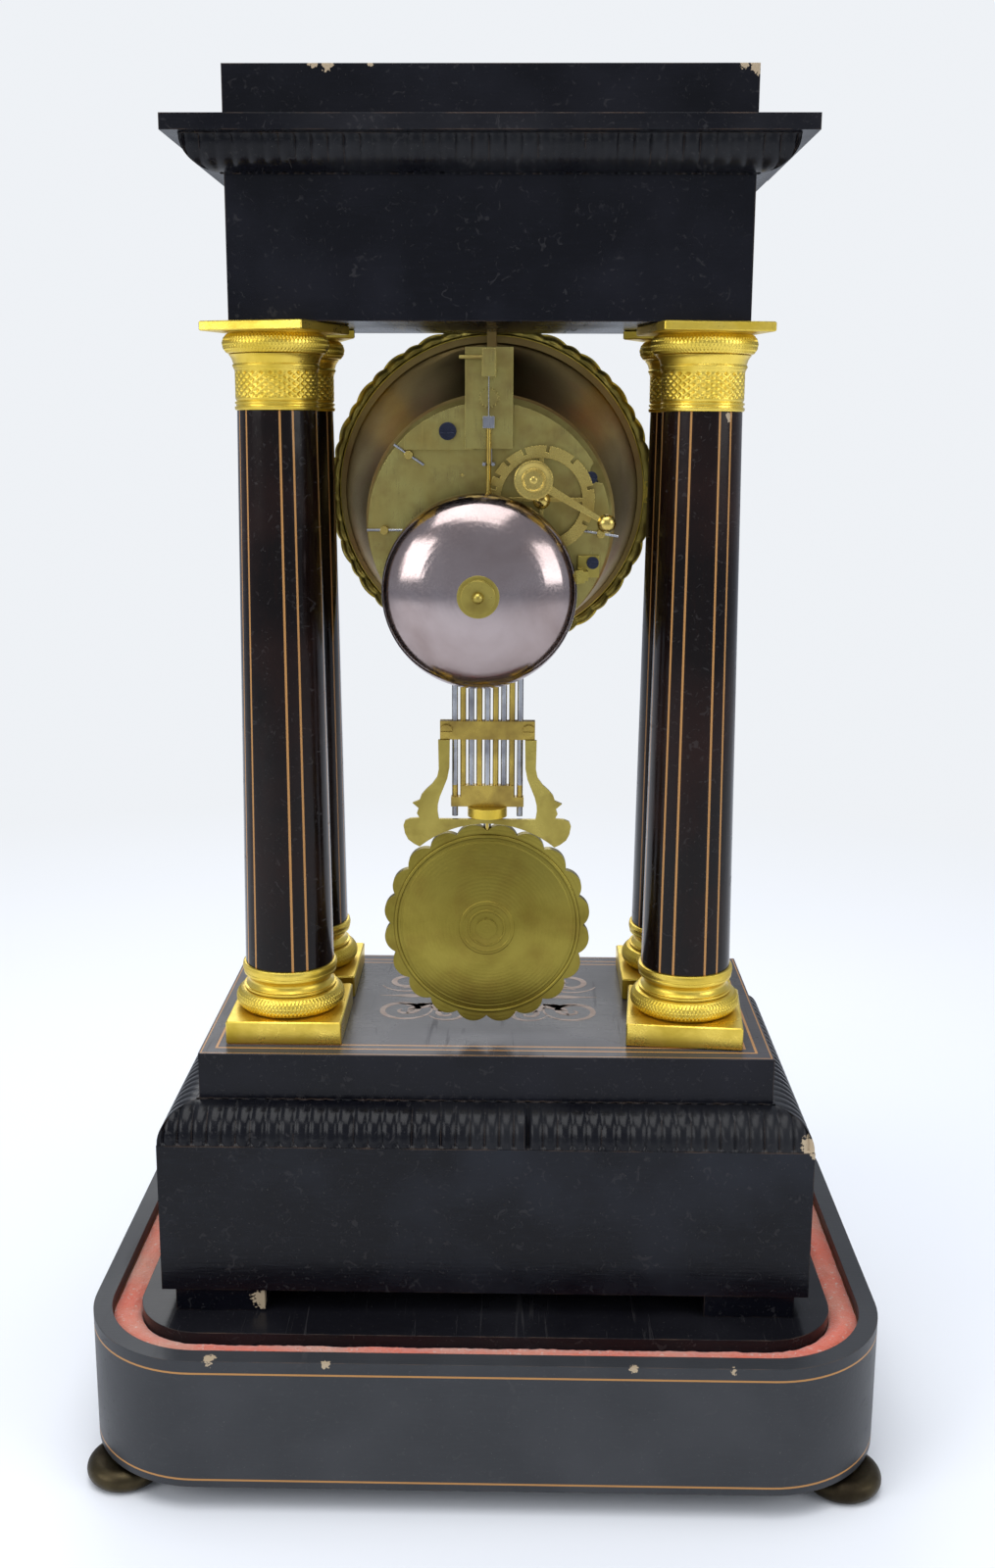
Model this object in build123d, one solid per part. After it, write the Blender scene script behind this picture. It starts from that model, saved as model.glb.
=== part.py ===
from build123d import *
import math
import os

# Portico clock on its dome base. Millimetres, +Z up, and the dial looks towards -Y.
# The origin lies on the ground under the middle of the dome base.

# Dome base
foot_radius = 15.5
foot_height = 11.0
foot_neck_radius = 6.0
foot_neck_height = 2.0
foot_dowel_radius = 3.0
foot_dowel_length = 10.0
foot_inset_x = 15.5
foot_inset_y = 23.0
base_width = 320.0
base_depth = 222.0
base_height = 54.5
base_corner = 48.0
base_wall = 15.0
rim_land = 7.5
groove_width = 12.0
groove_depth = 8.0
felt_thickness = 5.5
floor_thickness = 10.0
platform_ledge = 10.0

# Wooden case
block_foot_size = 36.0
block_foot_height = 9.5
block_foot_inset_x = 5.5
block_foot_inset_y = 0.8
lower_box_width = 260.0
lower_box_depth = 151.5
lower_box_height = 62.2
case_wall = 9.0
lower_moulding_width = 14.9
lower_moulding_height = 14.5
lower_bulge_share = (0.87, 0.85)
plinth_height = 33.1
moulding_lip = 1.0
frieze_width = 195.4
frieze_depth = 82.8
frieze_height = 64.3
frieze_wall = 8.0
cornice_moulding_width = 13.9
cornice_moulding_height = 12.3
cornice_bulge_share = (0.86, 0.32)
slab_overhang = 5.5
slab_thickness = 5.7
top_block_height = 20.3
top_block_wall = 8.0

# Columns
column_spacing_x = 164.2
column_spacing_y = 55.0
base_block_size = 46.9
base_block_height = 9.6
torus_radius = 22.5
torus_height = 8.6
scotia_radius = 18.7
scotia_height = 7.2
base_ring_radius = 19.5
base_ring_height = 3.6
shaft_bottom_radius = 18.2
shaft_top_radius = 15.4
shaft_height = 222.7
bead_radius = 16.2
bead_height = 3.0
basket_radius = 15.9
basket_height = 12.4
neck_height = 5.4
fillet_radius = 18.2
echinus_radius = 20.8
echinus_height = 8.3
echinus_hollow = 0.7
abacus_size = 42.8
abacus_height = 3.6
tie_rod_radius = 2.5
tie_rod_end = 3.0
tie_nut_radius = 5.5
tie_nut_height = 4.0
bore_clearance = 0.3
# Degrees by which each capital and base stands turned about its own column
capital_turn = {"back_left": 9.8, "back_right": -18.4, "front_left": -24.0, "front_right": 16.0}
base_turn = {"back_left": -4.9, "back_right": 0.0, "front_left": 0.0, "front_right": 0.0}

# Dial, bezel and pan
dial_below_frieze = 66.3
dial_gap = 0.7
surround_inner_radius = 56.0
surround_outer_radius = 70.5
surround_valley_radius = 67.8
surround_scallops = 24
surround_thickness = 5.0
pan_rim_radius = 63.6
pan_bead_reach = 1.8
pan_bead_depth = 2.4
pan_back_radius = 51.7
pan_drop = 10.5
pan_depth = 31.0
pan_sheet = 1.0
pan_back_opening = 42.0
hanger_width = 4.0
hanger_depth = 10.0
hanger_from_dial = 7.0
dial_overlap = 3.5
dial_thickness = 1.5
dial_foot_radius = 1.2
dial_foot_circle = 32.0
dial_feet = 3
dial_foot_bearing = 30.0
winding_hole_radius = 4.0
bezel_inner_radius = 50.0
bezel_outer_radius = 58.0
bezel_thickness = 4.7
bezel_gap = 0.3
bezel_rebate_radius = 52.0
bezel_rebate_depth = 2.0
glass_clearance = 0.1
glass_thickness = 1.4
glass_rise = 6.8
hinge_offset = 2.5
hinge_gap = 0.3
hinge_pin_radius = 1.0
hinge_knuckle_radius = 2.1
hinge_knuckle_length = 6.0
hinge_leaf_thickness = 2.0
running_clearance = 0.05
hand_thickness = 0.5
hour_hand_length = 28.0
minute_hand_length = 43.0
hour_ring_share = 0.68
hour_ring_radius = 3.4
hour_hub_rim = 1.6
hour_blade_width = 2.2
minute_ring_share = 0.78
minute_ring_radius = 2.8
minute_hub_rim = 1.9
minute_blade_width = 1.8
hand_waist_share = 0.7
hand_tip_share = 0.2
hand_ring_bore_share = 0.6
hour_hand_gap = 1.7
hand_spacing = 1.5
hour_hand_bearing = 52.0
minute_hand_bearing = -60.0
dial_centre_clearance = 0.6
hinge_pin_head = 0.8

# Movement frame
front_plate_radius = 50.5
back_plate_radius = 47.6
front_plate_thickness = 2.0
back_plate_thickness = 2.0
plate_spacing = 33.0
pillar_radius = 2.5
pillar_end_radius = 1.6
pillar_end_length = 3.6
pillar_places = [(31.3, 27.4), (41.0, -1.8), (-44.0, -2.8), (20.0, -38.4), (-16.0, -40.4)]
taper_pin_radius = 0.55
taper_pin_length = 14.0
taper_pin_turns = [34.0, 0.0, 8.0, 20.0, -20.0]
notch_place = (-44.1, 21.3)
notch_radius = 4.6
arbor_radius = 0.9
pivot_radius = 0.6
arbor_end_play = 0.1
pivot_end_gap = 0.3

# Wheel work: teeth and modules
tooth_addendum = 0.75
tooth_dedendum = 1.1
tooth_share = 0.36
tooth_flank_angle = 20.0
wheel_thickness = 1.2
wheel_rim = 2.2
wheel_spokes = 5
spoke_width = 1.6
hub_radius = 3.0
barrel_teeth = 84
second_pinion_teeth = 14
barrel_module = 0.42
barrel_offset = 19.0
barrel_drop = 20.6
drum_radius = 16.2
drum_wall = 0.8
drum_length = 13.5
winding_arbor_radius = 2.2
winding_square = 3.2
winding_end_gap = 3.0
second_teeth = 60
centre_pinion_teeth = 12
second_module = 0.40
centre_teeth = 96
third_pinion_teeth = 8
third_teeth = 85
escape_pinion_teeth = 8
fine_module = 0.27
escape_rise = 16.1
escape_teeth = 30
escape_radius = 9.6
escape_tooth_depth = 1.8
pallet_span = 51.0
pallet_nib_width = 0.4
pallet_nib_gap = 1.3
pallet_nib_length = 2.4
count_arbor_bearing = 94.2
count_drive_teeth = 72
pin_pinion_teeth = 12
pin_wheel_bearing = 79.7
pin_wheel_teeth = 60
fly_pinion_teeth = 10
fly_module = 0.36
fly_bearing = 181.4
lifting_pins = 15
lifting_pin_radius = 0.4
lifting_pin_circle = 8.5
fly_blade_width = 14.0
fly_blade_length = 16.0
cannon_teeth = 12
minute_wheel_teeth = 36
cannon_module = 0.50
minute_pinion_teeth = 12
hour_wheel_teeth = 48
cannon_radius = 1.2
hour_pipe_radius = 2.4
minute_stud_radius = 1.0

# Depths of the wheels behind the inner face of the front plate
going_wheel_depth = 1.5
second_pinion_depth = 0.5
pinion_length = 3.5
second_wheel_depth = 21.0
centre_pinion_depth = 20.0
centre_wheel_depth = 26.0
third_pinion_depth = 24.6
third_wheel_depth = 29.6
fast_pinion_depth = 28.8
fast_pinion_length = 3.0
escape_wheel_depth = 12.0
pallet_overlap = 0.4
strike_wheel_depth = 4.8
count_pinion_depth = 4.3
count_pinion_length = 2.5
count_drive_depth = 24.2
pin_pinion_depth = 23.0
fly_blade_depth = 2.0
cannon_depth = 3.0
cannon_length = 3.0
minute_wheel_gap = 1.0
hour_wheel_gap = 1.3

barrel_wheel_thickness = 1.5
barrel_core_radius = 5.0
minute_wheel_thickness = 1.0
pinion_overlap = 0.4
collar_radius = 1.8
collar_end = 1.0
escape_root_half = 1.8
escape_tip_half = 0.5
escape_rim = 1.4
escape_spokes = 4
escape_thickness = 1.0
anchor_hub_radius = 2.0
anchor_arm_width = 1.6
pallet_hole_radius = 2.6
crutch_gap = 0.5
crutch_collet_radius = 2.2
fly_blade_thickness = 0.5
lifting_pin_length = 1.2

# Work behind the back plate
count_wheel_radius = 20.8
count_wheel_thickness = 1.5
count_wheel_gap = 2.0
count_wheel_slots = 12
count_knob_radius = 3.4
count_knob_stand = 5.5
count_spacing_total = 78
count_slot_depth = 2.6
count_slot_width = 1.4
count_spokes = 4
hammer_place = (-45.2, 2.3)
hammer_head_place = (-17.2, 18.5)
hammer_head_radius = 7.4
hammer_head_depth = 5.0
hammer_head_stand = 16.5
hammer_boss_radius = 3.6
hammer_rod_radius = 0.9
hammer_strap_width = 3.6
bell_place = (3.3, -24.1)
bell_radius = 37.7
bell_depth = 18.0
bell_wall = 1.3
bell_stand_off = 19.0
bell_hole_radius = 2.3
bell_washer_radius = 8.0
bell_nut_radius = 6.4
bell_nut_height = 2.6
bell_post_radius = 2.0
bell_shoulder_radius = 4.0
stand_foot_place = (-39.3, -15.6)
stand_foot_size = 8.4
stand_foot_height = 3.0
stand_arm_width = 5.0
stand_arm_thickness = 2.6
stand_arm_gap = 0.8
screw_head_radius = 3.4
screw_head_height = 2.2
screw_shank_radius = 1.3
small_screw_radius = 2.4
pan_screw_circle = 46.0
pan_screw_bearings = [70.0, 160.0, 230.0, 340.0]
edge_screw_place = (-39.9, 18.9)
bell_washer_thickness = 1.0
bell_finial_radius = 2.2
bell_post_gap = 1.0
bell_shoulder_height = 1.5
stand_post_size = 3.4
stand_post_offset = 2.4
stand_screw_offset = 1.6

# Suspension and pendulum
cock_half_width = 9.2
cock_bottom = 29.9
cock_top = 68.1
cock_stand = 3.0
cock_thickness = 3.0
cock_foot_inner = 6.0
cock_foot_outer = 33.0
cock_foot_bottom = 29.4
cock_screw_place = (16.0, 36.5)
suspension_rise = 58.1
suspension_pin_radius = 0.6
suspension_block_width = 5.0
suspension_block_top = 67.1
suspension_cheek = 1.6
suspension_eye_half = 1.2
suspension_side_gap = 0.3
spring_width = 4.0
spring_thickness = 0.3
pendulum_stand = 12.0
chops_top = 42.1
chops_bottom = 37.7
chops_width = 4.4
chops_depth = 3.4
pendulum_rod_radius = 0.95
regulator_rise = 49.1
regulator_radius = 3.6
regulator_teeth = 18
regulator_pin_radius = 0.8
side_pin_length = 8.8
side_pin_rise = 64.1
crutch_drop = 17.75
crutch_width = 2.2
crutch_thickness = 1.2
crutch_slot_clearance = 0.25
crutch_pin_radius = 0.6
crutch_pin_reach = 1.5
grid_rods = 9
grid_rod_spacing = 3.23
grid_rod_radius = 1.2
grid_top = 1.0
top_bar_height = 6.0
grid_bottom = -114.5
crossbar_middle = -79.4
crossbar_height = 7.4
crossbar_width = 37.6
lower_bar_top = -101.8
lower_bar_width = 21.0
lower_bar_height = 4.7
foot_bar_width = 29.0
foot_bar_height = 3.9
bar_depth = 4.0
crossbar_screw_spread = 32.6
rating_nut_radius = 7.9
rating_nut_height = 3.9
rating_nut_clearance = 0.05
rating_nut_gap = 0.1
bob_stem_radius = 1.5
bob_drop = 159.55
bob_rim_radius = 39.0
bob_scallop_radius = 41.9
bob_scallops = 20
bob_rim_thickness = 4.0
bob_front_rise = 3.0
bob_dish_radius = 36.9
bob_dish_rise = 5.2
bob_screw_radius = 4.0
bob_screw_stand = 0.8
bob_stem_depth = 12.0
lyre_thickness = 1.8
lyre_top_inner = 14.9
lyre_top_outer = 19.5
lyre_wing_top = 115.3
lyre_wing_bottom = 127.4
# Edges of the lyre as (reach, drop) places below the middle of the plates
lyre_outer_edge = [
    (19.3, 94.9), (20.0, 98.2), (22.0, 101.0), (24.6, 103.4), (26.2, 105.4), (27.0, 107.6),
    (29.8, 108.8), (27.4, 110.9), (28.1, 113.0), (27.0, 114.9), (30.7, 115.2), (32.8, 116.1),
    (33.5, 118.0), (32.9, 121.3), (31.6, 123.8), (29.3, 125.6), (25.6, 127.4)]
lyre_inner_edge = [
    (19.3, 115.3), (19.8, 112.2), (19.7, 109.5), (18.9, 106.2), (17.6, 103.0), (15.9, 98.7),
    (15.1, 94.5)]
lyre_gap = 0.6


def box(width, depth, bottom, top, x=0.0, y=0.0):
    """A block with upright sides between two heights."""
    return Pos(x, y, (bottom + top) / 2) * Box(width, depth, top - bottom)


def rounded_prism(width, depth, corner, bottom, top):
    """An upright prism with rounded corners between two heights."""
    return extrude(Pos(0, 0, bottom) * RectangleRounded(width, depth, corner), amount=top - bottom)


def post(radius, bottom, top, x=0.0, y=0.0):
    """An upright round bar between two heights."""
    return Pos(x, y, (bottom + top) / 2) * Cylinder(radius, top - bottom)


def flat(face, front, back, x=0.0, z=0.0):
    """A flat piece that stands parallel to the dial, from its front Y to its back Y."""
    plane = Plane(origin=(x, back, z), x_dir=(1, 0, 0), z_dir=(0, -1, 0))
    return extrude(plane * face, amount=back - front, dir=(0, -1, 0))


def rod(radius, front, back, place):
    """A round bar that runs from front to back at an (X, Z) place."""
    return flat(Circle(radius), front, back, place[0], place[1])


def turned(profile, place, start):
    """A turned piece whose axis runs from front to back, from (radius, depth) outline edges."""
    face = make_face(profile)
    plane = Plane(origin=(place[0], start, place[1]), x_dir=(1, 0, 0), z_dir=(0, 0, 1))
    axis = Axis((place[0], start, place[1]), (0, 1, 0))
    return revolve(plane * face, axis=axis)


def ball(radius, place, depth):
    """A ball at an (X, Z) place and a depth, with its poles towards front and back."""
    return Pos(place[0], depth, place[1]) * Rot(90, 0, 0) * Sphere(radius)


def cap(radius, rise, place, seat):
    """A low round cap of a ball on a seat, rising along Y by a signed amount."""
    ball_radius = (radius ** 2 + rise ** 2) / (2 * abs(rise))
    towards = math.copysign(1, rise)
    whole = ball(ball_radius, place, seat + rise - towards * ball_radius)
    ends = sorted((seat, seat + rise + towards))
    return whole & rod(radius + 1, ends[0], ends[1], place)


def strip(start, end, width_at_start, width_at_end):
    """A straight flat strip between two places, as an outline."""
    run_x = end[0] - start[0]
    run_z = end[1] - start[1]
    length = math.hypot(run_x, run_z)
    across_x = -run_z / length / 2
    across_z = run_x / length / 2
    points = [
        (start[0] + across_x * width_at_start, start[1] + across_z * width_at_start),
        (end[0] + across_x * width_at_end, end[1] + across_z * width_at_end),
        (end[0] - across_x * width_at_end, end[1] - across_z * width_at_end),
        (start[0] - across_x * width_at_start, start[1] - across_z * width_at_start),
    ]
    return make_face(Polyline(*points, close=True))


def scalloped(peak_radius, valley_radius, count):
    """A round outline with shallow lobes, as a row of arcs."""
    arcs = []
    for number in range(count):
        first = polar((0, 0), valley_radius, 360 / count * number)
        middle = polar((0, 0), peak_radius, 360 / count * (number + 0.5))
        last = polar((0, 0), valley_radius, 360 / count * (number + 1))
        arcs.append(ThreePointArc(first, middle, last))
    return make_face(arcs)


def polar(place, distance, bearing):
    """The place at a distance and bearing from another, in degrees from +X towards up."""
    angle = math.radians(bearing)
    return (place[0] + distance * math.cos(angle), place[1] + distance * math.sin(angle))


def bearing_to(place, other):
    """The bearing in degrees from one place to another."""
    return math.degrees(math.atan2(other[1] - place[1], other[0] - place[0]))


def meet(place, distance, other, other_distance, side):
    """The place at given distances from two others, on the side of +1 or -1."""
    apart = math.hypot(other[0] - place[0], other[1] - place[1])
    along = (distance ** 2 - other_distance ** 2 + apart ** 2) / (2 * apart)
    across = math.sqrt(distance ** 2 - along ** 2)
    bearing = bearing_to(place, other)
    return polar(polar(place, along, bearing), across, bearing + 90 * side)


def from_plates(offset):
    """An offset from the middle of the movement's plates as a place."""
    return (offset[0], plates_z + offset[1])


def centre_distance(module, teeth, other_teeth):
    """The distance between the arbors of two meshing wheels."""
    return module * (teeth + other_teeth) / 2


def toothed(teeth, module, bearing):
    """A toothed outline with the middle of one tooth on the bearing."""
    pitch_radius = module * teeth / 2
    tip_radius = pitch_radius + tooth_addendum * module
    root_radius = pitch_radius - tooth_dedendum * module
    half_tooth = tooth_share * math.pi * module / 2
    slope = math.tan(math.radians(tooth_flank_angle))
    tip_half = math.degrees((half_tooth - tooth_addendum * module * slope) / tip_radius)
    root_half = math.degrees((half_tooth + tooth_dedendum * module * slope) / root_radius)
    points = []
    for number in range(teeth):
        middle = bearing + 360 / teeth * number
        points.append(polar((0, 0), root_radius, middle - root_half))
        points.append(polar((0, 0), tip_radius, middle - tip_half))
        points.append(polar((0, 0), tip_radius, middle + tip_half))
        points.append(polar((0, 0), root_radius, middle + root_half))
    return make_face(Polyline(*points, close=True))


def crossed(outline, rim_inner_radius, spokes):
    """A wheel's outline opened between its hub and its rim, leaving spokes."""
    opened = outline - Circle(rim_inner_radius) + Circle(hub_radius)
    for number in range(spokes):
        end = polar((0, 0), rim_inner_radius + spoke_width / 2, 360 / spokes * number)
        opened += strip((0, 0), end, spoke_width, spoke_width)
    return opened


def wheel(teeth, module, place, partner, front, back):
    """A crossed wheel with a tooth towards its partner."""
    outline = toothed(teeth, module, bearing_to(place, partner))
    inner_radius = module * teeth / 2 - tooth_dedendum * module - wheel_rim
    return flat(crossed(outline, inner_radius, wheel_spokes), front, back, *place)


def pinion(teeth, module, place, partner, front, back):
    """A solid pinion with a gap towards its partner."""
    outline = toothed(teeth, module, bearing_to(place, partner) + 180 / teeth)
    return flat(outline, front, back, *place)


def arbor(place):
    """A steel arbor with a pivot in each plate."""
    body = rod(arbor_radius, plates_front + arbor_end_play, plates_back - arbor_end_play, place)
    body += rod(pivot_radius, front_plate_front + pivot_end_gap, plates_front + arbor_end_play, place)
    body += rod(pivot_radius, plates_back - arbor_end_play, back_plate_back - pivot_end_gap, place)
    return body


def shaft_radius_at(height):
    """The radius of a column's tapering shaft at a height."""
    share = (height - shaft_bottom_z) / shaft_height
    return shaft_bottom_radius + (shaft_top_radius - shaft_bottom_radius) * share


def save(name, piece):
    """Write one piece to its own file."""
    piece.label = name
    export_step(piece, "parts/" + name + ".step")


# Heights of the case, from the ground up
base_bottom_z = foot_height
base_top_z = base_bottom_z + base_height
groove_floor_z = base_top_z - groove_depth
box_bottom_z = base_top_z + block_foot_height
box_top_z = box_bottom_z + lower_box_height
plinth_top_z = box_top_z + plinth_height
block_top_z = plinth_top_z + base_block_height
torus_top_z = block_top_z + torus_height
scotia_top_z = torus_top_z + scotia_height
shaft_bottom_z = scotia_top_z + base_ring_height
shaft_top_z = shaft_bottom_z + shaft_height
bead_top_z = shaft_top_z + bead_height
basket_top_z = bead_top_z + basket_height
neck_top_z = basket_top_z + neck_height
echinus_top_z = neck_top_z + echinus_height
frieze_bottom_z = echinus_top_z + abacus_height
dial_height = frieze_bottom_z - dial_below_frieze
frieze_top_z = frieze_bottom_z + frieze_height
slab_top_z = frieze_top_z + slab_thickness
top_block_top_z = slab_top_z + top_block_height
plinth_width = lower_box_width - 2 * lower_moulding_width
plinth_depth = lower_box_depth - 2 * lower_moulding_width
slab_width = frieze_width + 2 * (cornice_moulding_width + slab_overhang)
slab_depth = frieze_depth + 2 * (cornice_moulding_width + slab_overhang)

# Depths of the dial and movement, from the front to the back
surround_back = -(column_spacing_y / 2 + shaft_radius_at(dial_height) + dial_gap)
surround_front = surround_back - surround_thickness
dial_back = surround_back + dial_thickness
bezel_back = surround_front - bezel_gap
bezel_front = bezel_back - bezel_thickness
plates_z = dial_height - pan_drop
front_plate_front = surround_back + pan_depth + pan_sheet
plates_front = front_plate_front + front_plate_thickness
plates_back = plates_front + plate_spacing
back_plate_back = plates_back + back_plate_thickness
cock_front = back_plate_back + cock_stand
cock_back = cock_front + cock_thickness
pendulum_y = back_plate_back + pendulum_stand
bell_rim_y = back_plate_back + bell_stand_off
bell_apex_y = bell_rim_y + bell_depth

# Places of the arbors, as (X, Z)
centre = (0.0, dial_height)
going_place = (barrel_offset, dial_height - barrel_drop)
strike_place = (-barrel_offset, dial_height - barrel_drop)
barrel_distance = centre_distance(barrel_module, barrel_teeth, second_pinion_teeth)
second_distance = centre_distance(second_module, second_teeth, centre_pinion_teeth)
second_place = meet(going_place, barrel_distance, centre, second_distance, 1)
escape_place = (0.0, dial_height + escape_rise)
centre_third = centre_distance(fine_module, centre_teeth, third_pinion_teeth)
third_escape = centre_distance(fine_module, third_teeth, escape_pinion_teeth)
third_place = meet(centre, centre_third, escape_place, third_escape, -1)
pallet_rise = escape_radius / math.cos(math.radians(pallet_span))
pallet_place = (0.0, escape_place[1] + pallet_rise)
count_place = polar(strike_place, barrel_distance, count_arbor_bearing)
count_drive = centre_distance(second_module, count_drive_teeth, pin_pinion_teeth)
pin_place = polar(count_place, count_drive, pin_wheel_bearing)
fly_distance = centre_distance(fly_module, pin_wheel_teeth, fly_pinion_teeth)
fly_place = polar(pin_place, fly_distance, fly_bearing)
hammer_arbor_place = from_plates(hammer_place)
minute_distance = centre_distance(cannon_module, cannon_teeth, minute_wheel_teeth)
minute_place = (0.0, dial_height - minute_distance)
hour_module = 2 * minute_distance / (minute_pinion_teeth + hour_wheel_teeth)
pivoted_places = [second_place, third_place, escape_place, count_place, pin_place, fly_place]
pivoted_places += [centre, hammer_arbor_place]
barrel_places = [going_place, strike_place]

# Column places, named as seen from the front
column_places = {}
for depth_name, depth_sign in [("back", 1), ("front", -1)]:
    for side_name, side_sign in [("left", -1), ("right", 1)]:
        x = side_sign * column_spacing_x / 2
        y = depth_sign * column_spacing_y / 2
        column_places[depth_name + "_" + side_name] = (x, y)


def make_dome_base():
    """The rounded base with its groove for the dome, its platform, felt and bun feet."""
    outer = rounded_prism(base_width, base_depth, base_corner, base_bottom_z, base_top_z)
    rim_inner_width = base_width - 2 * rim_land
    rim_inner_depth = base_depth - 2 * rim_land
    rim_inner_corner = base_corner - rim_land
    platform_width = rim_inner_width - 2 * groove_width
    platform_depth = rim_inner_depth - 2 * groove_width
    platform_corner = rim_inner_corner - groove_width
    frame = outer - rounded_prism(
        rim_inner_width, rim_inner_depth, rim_inner_corner, groove_floor_z, base_top_z)
    frame -= rounded_prism(
        platform_width - 2 * platform_ledge, platform_depth - 2 * platform_ledge,
        platform_corner - platform_ledge, base_bottom_z, groove_floor_z)
    frame -= rounded_prism(
        base_width - 2 * base_wall, base_depth - 2 * base_wall, base_corner - base_wall,
        base_bottom_z, groove_floor_z - floor_thickness)
    platform = rounded_prism(
        platform_width, platform_depth, platform_corner, groove_floor_z, base_top_z)
    felt_top_z = groove_floor_z + felt_thickness
    felt = rounded_prism(
        rim_inner_width, rim_inner_depth, rim_inner_corner, groove_floor_z, felt_top_z)
    felt -= rounded_prism(
        platform_width, platform_depth, platform_corner, groove_floor_z, felt_top_z)
    feet = Part()
    bun_height = foot_height - foot_neck_height
    for side_x in (-1, 1):
        for side_y in (-1, 1):
            x = side_x * (base_width / 2 - foot_inset_x)
            y = side_y * (base_depth / 2 - foot_inset_y)
            bun = Pos(x, y, bun_height / 2) * Torus(foot_radius - bun_height / 2, bun_height / 2)
            bun += post(foot_radius - bun_height / 2, 0, bun_height, x, y)
            bun += post(foot_neck_radius, bun_height, foot_height, x, y)
            bun += post(foot_dowel_radius, foot_height, foot_height + foot_dowel_length, x, y)
            feet += bun
            frame -= post(
                foot_dowel_radius + running_clearance, base_bottom_z,
                base_bottom_z + foot_dowel_length + bore_clearance, x, y)
    save("dome_base_frame", frame)
    save("dome_base_platform", platform)
    save("dome_groove_felt", felt)
    save("bun_feet", feet)


def moulding(width, depth, reach, bottom, top, low_reach, middle, high_reach):
    """A convex moulding that runs mitred round a block, from its section."""
    solids = []
    for half, plane in ((width / 2, Plane.XZ), (depth / 2, Plane.YZ)):
        outline = [
            Line((-half - low_reach, bottom), (half + low_reach, bottom)),
            ThreePointArc(
                (half + low_reach, bottom), (half + middle[0], bottom + middle[1]),
                (half + high_reach, top)),
            Line((half + high_reach, top), (-half - high_reach, top)),
            ThreePointArc(
                (-half - high_reach, top), (-half - middle[0], bottom + middle[1]),
                (-half - low_reach, bottom)),
        ]
        length = max(width, depth) + 4 * reach
        solids.append(extrude(plane * make_face(outline), amount=length / 2, both=True))
    return solids[0] & solids[1]


def make_case():
    """The block feet, the two boxes of the plinth, the frieze, the cornice and the top block."""
    feet = Part()
    for side_x in (-1, 1):
        for side_y in (-1, 1):
            x = side_x * (lower_box_width / 2 - block_foot_inset_x - block_foot_size / 2)
            y = side_y * (lower_box_depth / 2 - block_foot_inset_y - block_foot_size / 2)
            feet += box(block_foot_size, block_foot_size, base_top_z, box_bottom_z, x, y)
    lower_box = box(lower_box_width, lower_box_depth, box_bottom_z, box_top_z)
    lower_box -= box(
        lower_box_width - 2 * case_wall, lower_box_depth - 2 * case_wall,
        box_bottom_z, box_top_z - case_wall)
    lower_ripple = moulding(
        plinth_width, plinth_depth, lower_moulding_width,
        box_top_z, box_top_z + lower_moulding_height,
        lower_moulding_width,
        (lower_moulding_width * lower_bulge_share[0], lower_moulding_height * lower_bulge_share[1]),
        moulding_lip)
    lower_ripple -= box(
        plinth_width, plinth_depth, box_top_z, box_top_z + lower_moulding_height)
    plinth = box(plinth_width, plinth_depth, box_top_z, plinth_top_z)
    plinth -= box(
        plinth_width - 2 * case_wall, plinth_depth - 2 * case_wall,
        box_top_z, plinth_top_z - case_wall)
    frieze = box(frieze_width, frieze_depth, frieze_bottom_z, frieze_top_z)
    frieze -= box(
        frieze_width - 2 * frieze_wall, frieze_depth - 2 * frieze_wall,
        frieze_bottom_z + frieze_wall, frieze_top_z)
    cornice_bottom_z = frieze_top_z - cornice_moulding_height
    cornice = moulding(
        frieze_width, frieze_depth, cornice_moulding_width, cornice_bottom_z, frieze_top_z,
        moulding_lip,
        (cornice_moulding_width * cornice_bulge_share[0],
         cornice_moulding_height * cornice_bulge_share[1]),
        cornice_moulding_width)
    cornice -= box(frieze_width, frieze_depth, cornice_bottom_z, frieze_top_z)
    slab = box(slab_width, slab_depth, frieze_top_z, slab_top_z)
    top_block = box(frieze_width, frieze_depth, slab_top_z, top_block_top_z)
    top_block -= box(
        frieze_width - 2 * top_block_wall, frieze_depth - 2 * top_block_wall,
        slab_top_z, top_block_top_z - top_block_wall)
    for x, y in column_places.values():
        bore = post(tie_rod_radius + bore_clearance, box_top_z, frieze_top_z, x, y)
        plinth -= bore
        frieze -= bore
    save("block_feet", feet)
    save("lower_box", lower_box)
    save("lower_ripple_moulding", lower_ripple)
    save("upper_plinth", plinth)
    save("frieze_box", frieze)
    save("cornice_ripple_moulding", cornice)
    save("cornice_slab", slab)
    save("top_block", top_block)


def revolved_column(outline):
    """An upright turned piece round its own axis from (radius, height) outline edges."""
    return revolve(Plane.XZ * make_face(outline), axis=Axis.Z)


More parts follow.
